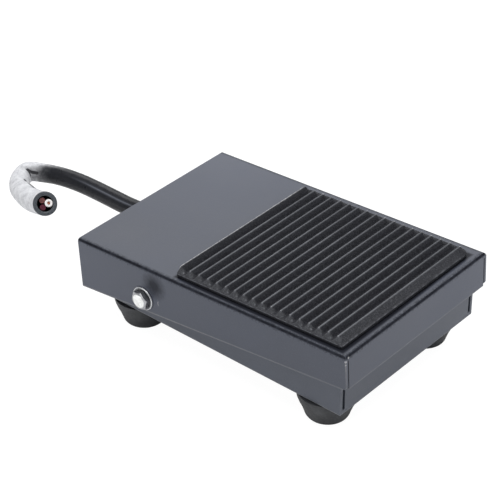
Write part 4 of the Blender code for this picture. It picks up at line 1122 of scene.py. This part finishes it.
def hexagon(z0, z1, chamfer_high):
    """A hexagonal prism, chamfered at its low end and, if asked, at its high end."""
    radius = ACROSS_FLATS / math.sqrt(3)
    angles = [math.radians(60 * i + 30) for i in range(6)]
    outline = [(radius * math.cos(a), radius * math.sin(a)) for a in angles]
    flat, outside = ACROSS_FLATS / 2, radius + 0.6
    rise = math.tan(math.radians(28))
    profile = [(flat * 0.86, z0), (outside, z0 + (outside - flat * 0.86) * rise)]
    if chamfer_high:
        profile += [(outside, z1 - (outside - flat * 0.94) * rise), (flat * 0.94, z1)]
    else:
        profile += [(outside, z1)]
    bar = prism(outline, z0 - 0.5, z1 + 0.5, place=lambda a, b, t: (a, b, t))
    return carve(bar, [lathe(profile, 72)], "INTERSECT")


def on_pivot(p):
    """From a piece turned about Z to the pivot's axis."""
    return tray_mm((p[2], PIVOT_Y + p[0], PIVOT_Z + p[1]))


def bolt():
    head = eased(turned(hexagon(LEFT - 2.2, LEFT - 0.64, False), 12), 0.06, angle=25)
    face = [(0.001, LEFT - 2.28), (2.05, LEFT - 2.28), (2.2, LEFT - 2.2), (2.2, LEFT - 2.0),
            (0.001, LEFT - 2.0)]
    shank = lathe([(1.5, LEFT - 0.7), (1.5, COVER_X + 2.3), (1.2, COVER_X + 2.7)], 40)
    # painted light: the face and the head are lit and shaded copies of one zinc
    piece("bolt_face", lathe(soften(face, 0.06), 56), "zinc_lit_face", "base", on_pivot, smooth=28)
    piece("bolt_head_and_shank", merge(head, shank), "zinc_shaded_head", "base", on_pivot,
          smooth=28, stands_for=["pivot_bolt"])


def washer(tag, sign):
    near, far = COVER_X + 0.07, COVER_X + 0.57
    rows = [(1.62, near), (3.72, near), (3.8, near + 0.08), (3.8, far - 0.16), (3.65, far),
            (1.75, far)]
    profile = soften([(radius, sign * z) for radius, z in rows], 0.06, 3, closed=True)
    piece(f"washer_{tag}", lathe(profile, 72, cyclic=True), "washer_zinc", "base", on_pivot,
          smooth=40, stands_for=[f"pivot_washer_{tag}"])


def nut():
    body = turned(hexagon(COVER_X + 0.63, COVER_X + 2.55, True), 20)
    body = carve(body, [pin(1.62, 33, 37, 32)])
    piece("nut_right", eased(body, 0.05, angle=25), "zinc_plate", "base", on_pivot, smooth=28,
          stands_for=["pivot_nut"])


bolt()
washer("left", -1)
washer("right", 1)
nut()

# ---- foot screws: pan heads with crossed slots, seen in the feet's recesses -------------------

# radius and height in the tray frame, from the head's face up the shank
SCREW_PROFILE = [(0.001, -6.9), (1.7, -6.9)] + arc(1.7, -5.9, 1.0, -88, 0, 6)
SCREW_PROFILE += [(2.7, -5.0), (1.5, -5.0), (1.5, 4.1), (1.2, 4.6), (0.001, 4.6)]


def foot_screw(tag, x, y, turn):
    slots = [block(-3, 3, -0.32, 0.32, -7.3, -6.25), block(-0.32, 0.32, -3, 3, -7.3, -6.25)]
    shape = turned(carve(lathe(SCREW_PROFILE, 40), slots), turn)
    piece(f"screw_{tag}", eased(shape, 0.04, 1, 40), "zinc_plate", "base",
          lambda p: tray_mm((x + p[0], y + p[1], p[2])), smooth=35,
          stands_for=[f"foot_screw_{tag}"])


for row in FEET:
    foot_screw(*row)

# ---- return spring ----------------------------------------------------------------------------

COIL_RADIUS, WIRE_RADIUS, TURNS, STEPS_PER_TURN = 3.4, 0.4, 7, 36


def return_spring():
    low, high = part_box("return_spring")
    z0, z1 = low.z * 1000 + WIRE_RADIUS, high.z * 1000 - WIRE_RADIUS
    foot_at = tray_mm((0, SPRING_Y, 0))
    dead = 2 * WIRE_RADIUS + 0.05  # rise of the closed turn at each end
    rings = []
    for i in range(TURNS * STEPS_PER_TURN + 1):
        turn = i / STEPS_PER_TURN
        if turn < 1:
            z = z0 + dead * turn
        elif turn > TURNS - 1:
            z = z1 - dead * (TURNS - turn)
        else:
            z = z0 + dead + (z1 - z0 - 2 * dead) * (turn - 1) / (TURNS - 2)
        angle = 2 * math.pi * turn
        radial = Vector((math.cos(angle), math.sin(angle), 0))
        # it leans forwards at the top, which leaves the locator room when the pedal is down
        lean = 0.28 * step(0.0, 1.0, turn / TURNS)
        centre = Vector((foot_at.x, foot_at.y - lean, z)) + radial * COIL_RADIUS
        rings.append(circle(centre, radial, Vector((0, 0, 1)), WIRE_RADIUS, 12))
    spring = piece("coil_spring", loft(rings), "spring_steel", "base", lambda p: p, smooth=50,
                   stands_for=["return_spring"])
    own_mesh(spring)


return_spring()

# ---- cable ------------------------------------------------------------------------------------

# x, y, z in the tray frame, from inside the tray to the cut end
CABLE_PATH = [
    (0.0, 37.0, 9.3), (0.0, 43.5, 9.3), (0.0, 50.0, 9.3), (-0.4, 57.9, 8.5), (-0.3, 65.9, 8.2),
    (0.0, 74.9, 8.1), (-0.3, 84.9, 8.1), (-1.7, 94.3, 7.7), (-3.1, 99.5, 7.2), (-5.9, 102.6, 7.3),
    (-8.9, 102.2, 6.7), (-12.05, 99.75, 6.4), (-14.55, 96.15, 7.1), (-16.9, 92.0, 8.8),
    (-18.25, 86.85, 9.1), (-18.7, 82.8, 10.0), (-22.4, 76.4, 14.0)]
STEPS, RING = 340, 56  # rings along the cable and points round the jacket
PALE_FROM, PALE_TO = 51.5, 71.0  # mm along the cable over which it turns chalky
KINK_AT = 68.0  # mm along the cable
# The cut end's rings: radius, and how far they stand beyond the end
CUT_RINGS = ((3.82, 0.03), (3.66, 0.09), (3.2, 0.10), (2.70, 0.06), (2.52, -0.08))


def spline_points(control, count):
    """Evenly spaced points on a natural cubic spline through the control points."""
    pts = np.array(control, float)
    lengths = np.linalg.norm(np.diff(pts, axis=0), axis=1)
    at = np.concatenate([[0.0], np.cumsum(lengths)])
    gap, n = np.diff(at), len(pts)
    system, target = np.eye(n), np.zeros((n, 3))
    for i in range(1, n - 1):
        system[i, i - 1 : i + 2] = gap[i - 1], 2 * (gap[i - 1] + gap[i]), gap[i]
        target[i] = 6 * ((pts[i + 1] - pts[i]) / gap[i] - (pts[i] - pts[i - 1]) / gap[i - 1])
    bend = np.linalg.solve(system, target)
    out = []
    for s in np.linspace(0, at[-1], count):
        i = min(int(np.searchsorted(at, s, "right")) - 1, n - 2)
        left, done, h = at[i + 1] - s, s - at[i], gap[i]
        out.append(Vector(
            bend[i] * left**3 / (6 * h) + bend[i + 1] * done**3 / (6 * h)
            + (pts[i] / h - bend[i] * h / 6) * left
            + (pts[i + 1] / h - bend[i + 1] * h / 6) * done))
    return out


def square_to(vector, direction):
    """The part of the vector square to a unit direction."""
    return vector - direction * vector.dot(direction)


def frames_along(points):
    """Tangents, and sides carried back from the end without twist."""
    tangents = []
    for i in range(len(points)):
        before, after = points[max(i - 1, 0)], points[min(i + 1, len(points) - 1)]
        tangents.append((after - before).normalized())
    level = Vector((0, 0, 1)).cross((points[-1] - points[-2]).normalized()).normalized()
    side = square_to(level, tangents[-1]).normalized()
    sides = [side]
    for i in range(len(points) - 2, -1, -1):
        side = tangents[i + 1].rotation_difference(tangents[i]) @ side
        side = square_to(side, tangents[i]).normalized()
        sides.append(side)
    return tangents, sides[::-1]


AXIS = spline_points(CABLE_PATH, STEPS)
TANGENTS, SIDES = frames_along(AXIS)
RUN = [0.0]  # mm along the cable at each step
for start, end in zip(AXIS, AXIS[1:]):
    RUN.append(RUN[-1] + (end - start).length)
TOTAL = RUN[-1]


def bend_side(i):
    """Unit vector towards the inside of the bend."""
    a, b = max(i - 2, 0), min(i + 2, STEPS - 1)
    return ((TANGENTS[b] - TANGENTS[a]) / max(RUN[b] - RUN[a], 1e-6)).normalized()


KINK_STEP = min(range(STEPS), key=lambda i: abs(RUN[i] - KINK_AT))
INSIDE = AXIS[KINK_STEP] + bend_side(KINK_STEP) * 4.0
SIGHT = -VIEW_FORWARD


def spokes(i):
    """(angle, unit direction) round the cable at a step."""
    side, up = SIDES[i], TANGENTS[i].cross(SIDES[i])
    angles = [2 * math.pi * k / RING for k in range(RING)]
    return [(angle, side * math.cos(angle) + up * math.sin(angle)) for angle in angles]


def outer_radius(i):
    """A slow swelling to the cut end, and a slight one at the kink."""
    base = 2.92 + 0.11 * step(14.0, 20.0, RUN[i])
    flare = (3.86 - base) * step(TOTAL - 35, TOTAL - 8, RUN[i])
    return base + flare + 0.22 * bell(RUN[i] - 69.0, 8.0)


def inner_radius(i):
    return 2.35 + (2.5 - 2.35) * step(TOTAL - 35, TOTAL - 8, RUN[i])


def crease_side(i):
    """The way the creases face: into the kink, then to one side of the view beyond it."""
    centre, tangent, along = AXIS[i], TANGENTS[i], RUN[i]
    inside = square_to(INSIDE - centre, tangent)
    inside = square_to(inside, SIGHT).normalized() if inside.length > 0.5 else bend_side(i)
    other = square_to(VIEW_RIGHT * 0.77 - VIEW_DOWN * 0.63, tangent).normalized()
    late = step(69.0, 75.0, along)
    return (square_to(inside, tangent).normalized() * (1.0 - late) + other * late).normalized()


def jacket_ring(i):
    """Outer points at a step, each with its (pale, cut, crease, gloss)."""
    centre, tangent, along = AXIS[i], TANGENTS[i], RUN[i]
    inside = crease_side(i)
    facing = square_to(SIGHT, tangent).normalized()
    above = square_to(-VIEW_DOWN, tangent).normalized()
    points, marks = [], []
    for angle, out in spokes(i):
        inward, front = out.dot(inside), out.dot(facing)
        wander = noise.noise(Vector((angle * 1.7, along * 0.25, 4.0)))
        # the kink: one split across the inside of the bend, one running back along the cable; both
        # dent the jacket and carry painted shade
        across = min(1.0, 1.5 * bell(along - KINK_AT - 0.9 * wander - 0.5 * inward, 0.66))
        across *= step(-0.25, 0.25, inward)
        back = min(1.0, 1.5 * bell(inward - 0.02 - 0.035 * (KINK_AT - along), 0.15))
        back *= step(61.0, 63.0, along) * (1.0 - step(67.2, 68.2, along))
        back *= step(0.0, 0.4, front)
        lips = (bell(along - 69.4, 0.9) + bell(along - 66.4, 0.9)) * step(0.0, 0.6, inward)
        ripple = 0.05 * step(0.1, 0.7, inward) * step(70.0, 73.0, along)
        ripple *= 0.5 + 0.5 * math.sin(along * 3.1 + 1.5 * wander)
        dent = 0.30 * max(across, back) - 0.14 * lips + ripple
        # painted shade: a dark contour line on the inward side beyond the kink
        line = bell(inward - 0.90, 0.07) * step(74.5, 78.0, along)
        line *= 1.0 - step(TOTAL - 9.0, TOTAL - 4.0, along)
        line *= (0.85 + 0.5 * wander) * step(0.0, 0.3, front)
        # painted shade in the splits and along the dark line
        crease_shade = max(0.0, min(1.0, max(across, 0.95 * back, 0.85 * line)))
        early = 8.0 * step(0.25, 0.95, -inward) + 1.0 * step(0.35, 0.8, inward) - 1.5
        pale = step(PALE_FROM, PALE_TO, along + early)
        # a painted highlight streak along the upper side of the black part
        highlight_streak = bell(out.dot(above) - 0.40, 0.085) * step(16.0, 24.0, along)
        highlight_streak *= 1.0 - step(36.0, 52.0, along)
        lump = 0.05 * noise.noise(centre * 0.55 + out * 1.7)
        points.append(centre + out * (outer_radius(i) - dent + lump))
        marks.append((pale, 0.0, crease_shade, highlight_streak))
    return points, marks


def cut_ring(radius, push):
    """A slightly ragged ring on the cut end."""
    points = []
    for angle, out in spokes(-1):
        place = Vector((math.cos(angle) * 2.5, math.sin(angle) * 2.5, radius))
        ragged = 0.05 * noise.noise(place)
        points.append(AXIS[-1] + out * (radius + ragged) + TANGENTS[-1] * (push + ragged))
    return points


def cable_jacket():
    """The outside, the cut end, then the bore back to the start."""
    rings, marks = [], []
    for i in range(STEPS):
        points, ring_marks = jacket_ring(i)
        rings.append(points)
        marks += ring_marks
    rings += [cut_ring(radius, push) for radius, push in CUT_RINGS]
    for i in range(STEPS - 3, -1, -6):
        rings.append([AXIS[i] + out * inner_radius(i) for _, out in spokes(i)])
    marks += [(0.0, 1.0, 0.0, 0.0)] * (len(rings) * RING - len(marks))
    columns = dict(zip(("pale", "cut", "crease_shade", "highlight_streak"), zip(*marks)))
    piece("cable_jacket", loft(rings, cyclic=True), "cable_jacket", "base", tray_mm, smooth=60,
          stands_for=["cable_sheath"], attributes=columns)


cable_jacket()

# ---- cable cores: their last stretch, recessed in the jacket, with copper strands -------------

# colour, angle round the cable in degrees, distance from its axis, radius, recess
CORES = (
    ("white", 4, 1.14, 1.24, 0.05),
    ("brown", 125, 1.40, 0.98, 0.8),
    ("red", 235, 1.40, 0.98, 0.55),
)
STRAND_RADIUS, STRAND_PITCH = 0.135, 0.27  # the pitch is from the middle strand to the others


def core(tag, degrees, offset, radius, recess):
    angle = math.radians(degrees)

    def centre(i):
        up = TANGENTS[i].cross(SIDES[i])
        return (AXIS[i] + SIDES[i] * (offset * math.cos(angle))
                + up * (offset * math.sin(angle)))

    rings = [circle(centre(i), SIDES[i], TANGENTS[i].cross(SIDES[i]), radius, 32)
             for i in range(STEPS - 60, STEPS - 4)]
    tangent, side = TANGENTS[-1], SIDES[-1]
    up = tangent.cross(side)
    end = centre(-1) - tangent * recess
    # the end face and the socket round the strands: distance back, radius
    for back, size in ((0.14, radius), (0.04, radius - 0.04), (0.0, radius - 0.12),
                       (0.0, 0.56), (0.06, 0.50), (1.2, 0.48)):
        rings.append(circle(end - tangent * back, side, up, size, 32))
    piece(f"core_{tag}_end", loft(rings), f"core_{tag}_pvc", "base", tray_mm, smooth=50)

    angles = [math.radians(60 * k + 20) for k in range(6)]
    places = [(0.0, 0.0)]
    places += [(STRAND_PITCH * math.cos(a), STRAND_PITCH * math.sin(a)) for a in angles]
    strands = []
    for k, (x, y) in enumerate(places):
        if tag == "white":
            stick = 0.10 + 0.16 * ((k * 37) % 7) / 7.0
        else:
            stick = -0.05 + 0.1 * ((k * 31) % 5) / 5.0
        start = end + side * x + up * y
        rings = []
        for back, size in ((1.1, STRAND_RADIUS), (0.3, STRAND_RADIUS),
                           (-stick + 0.03, STRAND_RADIUS), (-stick, STRAND_RADIUS * 0.7)):
            twist = (side * (-y) + up * x) * (back * 0.25)
            rings.append(circle(start - tangent * back + twist, side, up, size, 12))
        strands.append(loft(rings))
    piece(f"strands_{tag}", merge(*strands), "copper_wire", "base", tray_mm, smooth=50,
          stands_for=["copper_strand"] if tag == "white" else ())


for row in CORES:
    core(*row)

# ---- grommet in the rear wall -----------------------------------------------------------------

# radius, and distance behind the middle of the wall
GROMMET = [(3.05, -2.3), (4.6, -2.3), (5.2, -1.8), (5.2, -0.6), (4.05, -0.6), (4.05, 0.6),
           (5.0, 0.6), (5.0, 1.3), (4.4, 1.9), (3.05, 1.9)]
piece("rubber_grommet", lathe(soften(GROMMET, 0.25, 3, closed=True), 64, cyclic=True),
      "grommet_rubber", "base",
      lambda p: tray_mm((p[1], TRAY_REAR - 0.5 + p[2], CABLE_Z + p[0])), smooth=40,
      stands_for=["cable_grommet"])

# ---- CAD pieces that stay: a finish and eased edges -------------------------------------------

# All others are zinc plated
FINISH = {
    "adhesive_sheet": "adhesive_film", "striker_pad": "nylon", "switch_case": "switch_plastic",
    "switch_lid": "switch_lid_plastic", "switch_lever": "spring_steel",
    "switch_plunger": "plunger_plastic", "contact_blade": "silvered_brass",
    "terminal_common": "silvered_brass", "terminal_open": "silvered_brass",
    "terminal_closed": "silvered_brass", "switch_bracket": "bracket_steel",
    "insulating_card": "insulating_card", "cable_tie": "black_nylon",
    "pivot_sleeve": "spring_steel", "pivot_shim_left": "nylon", "pivot_shim_right": "nylon",
    "core_white": "core_white_pvc", "core_red": "core_red_pvc", "core_brown": "core_brown_pvc",
}
for name, obj in NODES.items():
    if obj.hide_render:
        continue
    obj.data.materials.clear()
    obj.data.materials.append(MATERIALS[FINISH.get(name, "zinc_plate")])
    if name.startswith("core_"):
        continue
    low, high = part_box(name)
    weld = obj.modifiers.new("weld", "WELD")
    weld.merge_threshold = 2e-6
    bevel = obj.modifiers.new("ease", "BEVEL")
    bevel.width = min(0.00010, min(high - low) * 0.12)
    bevel.segments = 2
    bevel.limit_method = "ANGLE"
    bevel.angle_limit = math.radians(34)
    bevel.use_clamp_overlap = True

# ---- floor, world, lights and camera, in metres -----------------------------------------------

LENS = 133.272  # mm, on a sensor 36 mm wide
CAMERA_AT = (-0.348757, -0.290411, 0.325907)  # from the tray frame's origin
# name, place, aim, size, watts
LIGHTS = (
    ("key_back", (0.62, 0.54, 0.60), (0, 0, 0.02), (0.7, 0.5), 2.4),
    ("top", (0.0, 0.0, 1.2), (0, 0, 0), (1.3, 1.3), 16.0),
    ("left_fill", (-0.9, 0.1, 0.35), (0, 0, 0.02), (0.6, 0.5), 1.7),
    ("front_fill", (0.25, -0.95, 0.35), (0, 0, 0.02), (0.6, 0.5), 2.0),
)


def add_object(name, data):
    obj = bpy.data.objects.new(name, data)
    bpy.context.scene.collection.objects.link(obj)
    return obj


def add_floor():
    """A white floor that looks evenly lit to the camera but still takes a faint shadow."""
    corners = [(-4, -4, 0), (4, -4, 0), (4, 4, 0), (-4, 4, 0)]
    mesh = mesh_of((corners, [(0, 1, 2, 3)]), "floor")
    floor = add_object("floor", mesh)
    mat = Look("floor_white")
    mat.finish(colour=(0.93, 0.93, 0.93, 1.0), rough=0.9, spec=0.0)
    lit = mat.node("ShaderNodeEmission", {"Color": (1, 1, 1, 1), "Strength": 1.12})
    seen = mat.times(mat.node("ShaderNodeLightPath").outputs["Is Camera Ray"], 0.86)
    blend = mat.node("ShaderNodeMixShader",
                     {0: seen, 1: mat.bsdf.outputs[0], 2: lit.outputs[0]})
    mat.feed(mat.tree.nodes["Material Output"], {"Surface": blend.outputs[0]})
    mesh.materials.append(mat.material)


def add_world():
    """Soft cool light; the camera sees plain white past the floor's edge."""
    world = bpy.data.worlds.new("studio")
    bpy.context.scene.world = world
    world.use_nodes = True
    nodes, links = world.node_tree.nodes, world.node_tree.links
    ambient = nodes["Background"]
    ambient.inputs["Color"].default_value = (0.97, 0.98, 1.0, 1.0)
    ambient.inputs["Strength"].default_value = 0.27
    white = nodes.new("ShaderNodeBackground")
    white.inputs["Color"].default_value = (1.0, 1.0, 1.0, 1.0)
    white.inputs["Strength"].default_value = 1.05
    either = nodes.new("ShaderNodeMixShader")
    camera_ray = nodes.new("ShaderNodeLightPath").outputs["Is Camera Ray"]
    for i, socket in enumerate((camera_ray, ambient.outputs[0], white.outputs[0])):
        links.new(socket, either.inputs[i])
    links.new(either.outputs[0], nodes["World Output"].inputs["Surface"])


def softbox(name, at, aim, size, watts):
    light = bpy.data.lights.new(name, "AREA")
    light.shape, light.size, light.size_y = "RECTANGLE", size[0], size[1]
    light.energy = watts
    obj = add_object(name, light)
    obj.location = at
    obj.rotation_mode = "QUATERNION"
    obj.rotation_quaternion = (Vector(aim) - Vector(at)).to_track_quat("-Z", "Y")


def add_camera():
    data = bpy.data.cameras.new("camera")
    data.sensor_fit, data.sensor_width, data.lens = "HORIZONTAL", 36.0, LENS
    data.clip_start, data.clip_end = 0.01, 10
    camera = add_object("camera", data)
    place = [a + b * 0.001 for a, b in zip(CAMERA_AT, ORIGIN)]
    columns = (VIEW_RIGHT, -VIEW_DOWN, -VIEW_FORWARD, place)
    rows = [[column[i] for column in columns] for i in range(3)]
    camera.matrix_world = Matrix(rows + [(0, 0, 0, 1)])
    bpy.context.scene.camera = camera


add_floor()
add_world()
for row in LIGHTS:
    softbox(*row)
add_camera()
view = bpy.context.scene.view_settings
view.view_transform = "Standard"
view.look = "None"
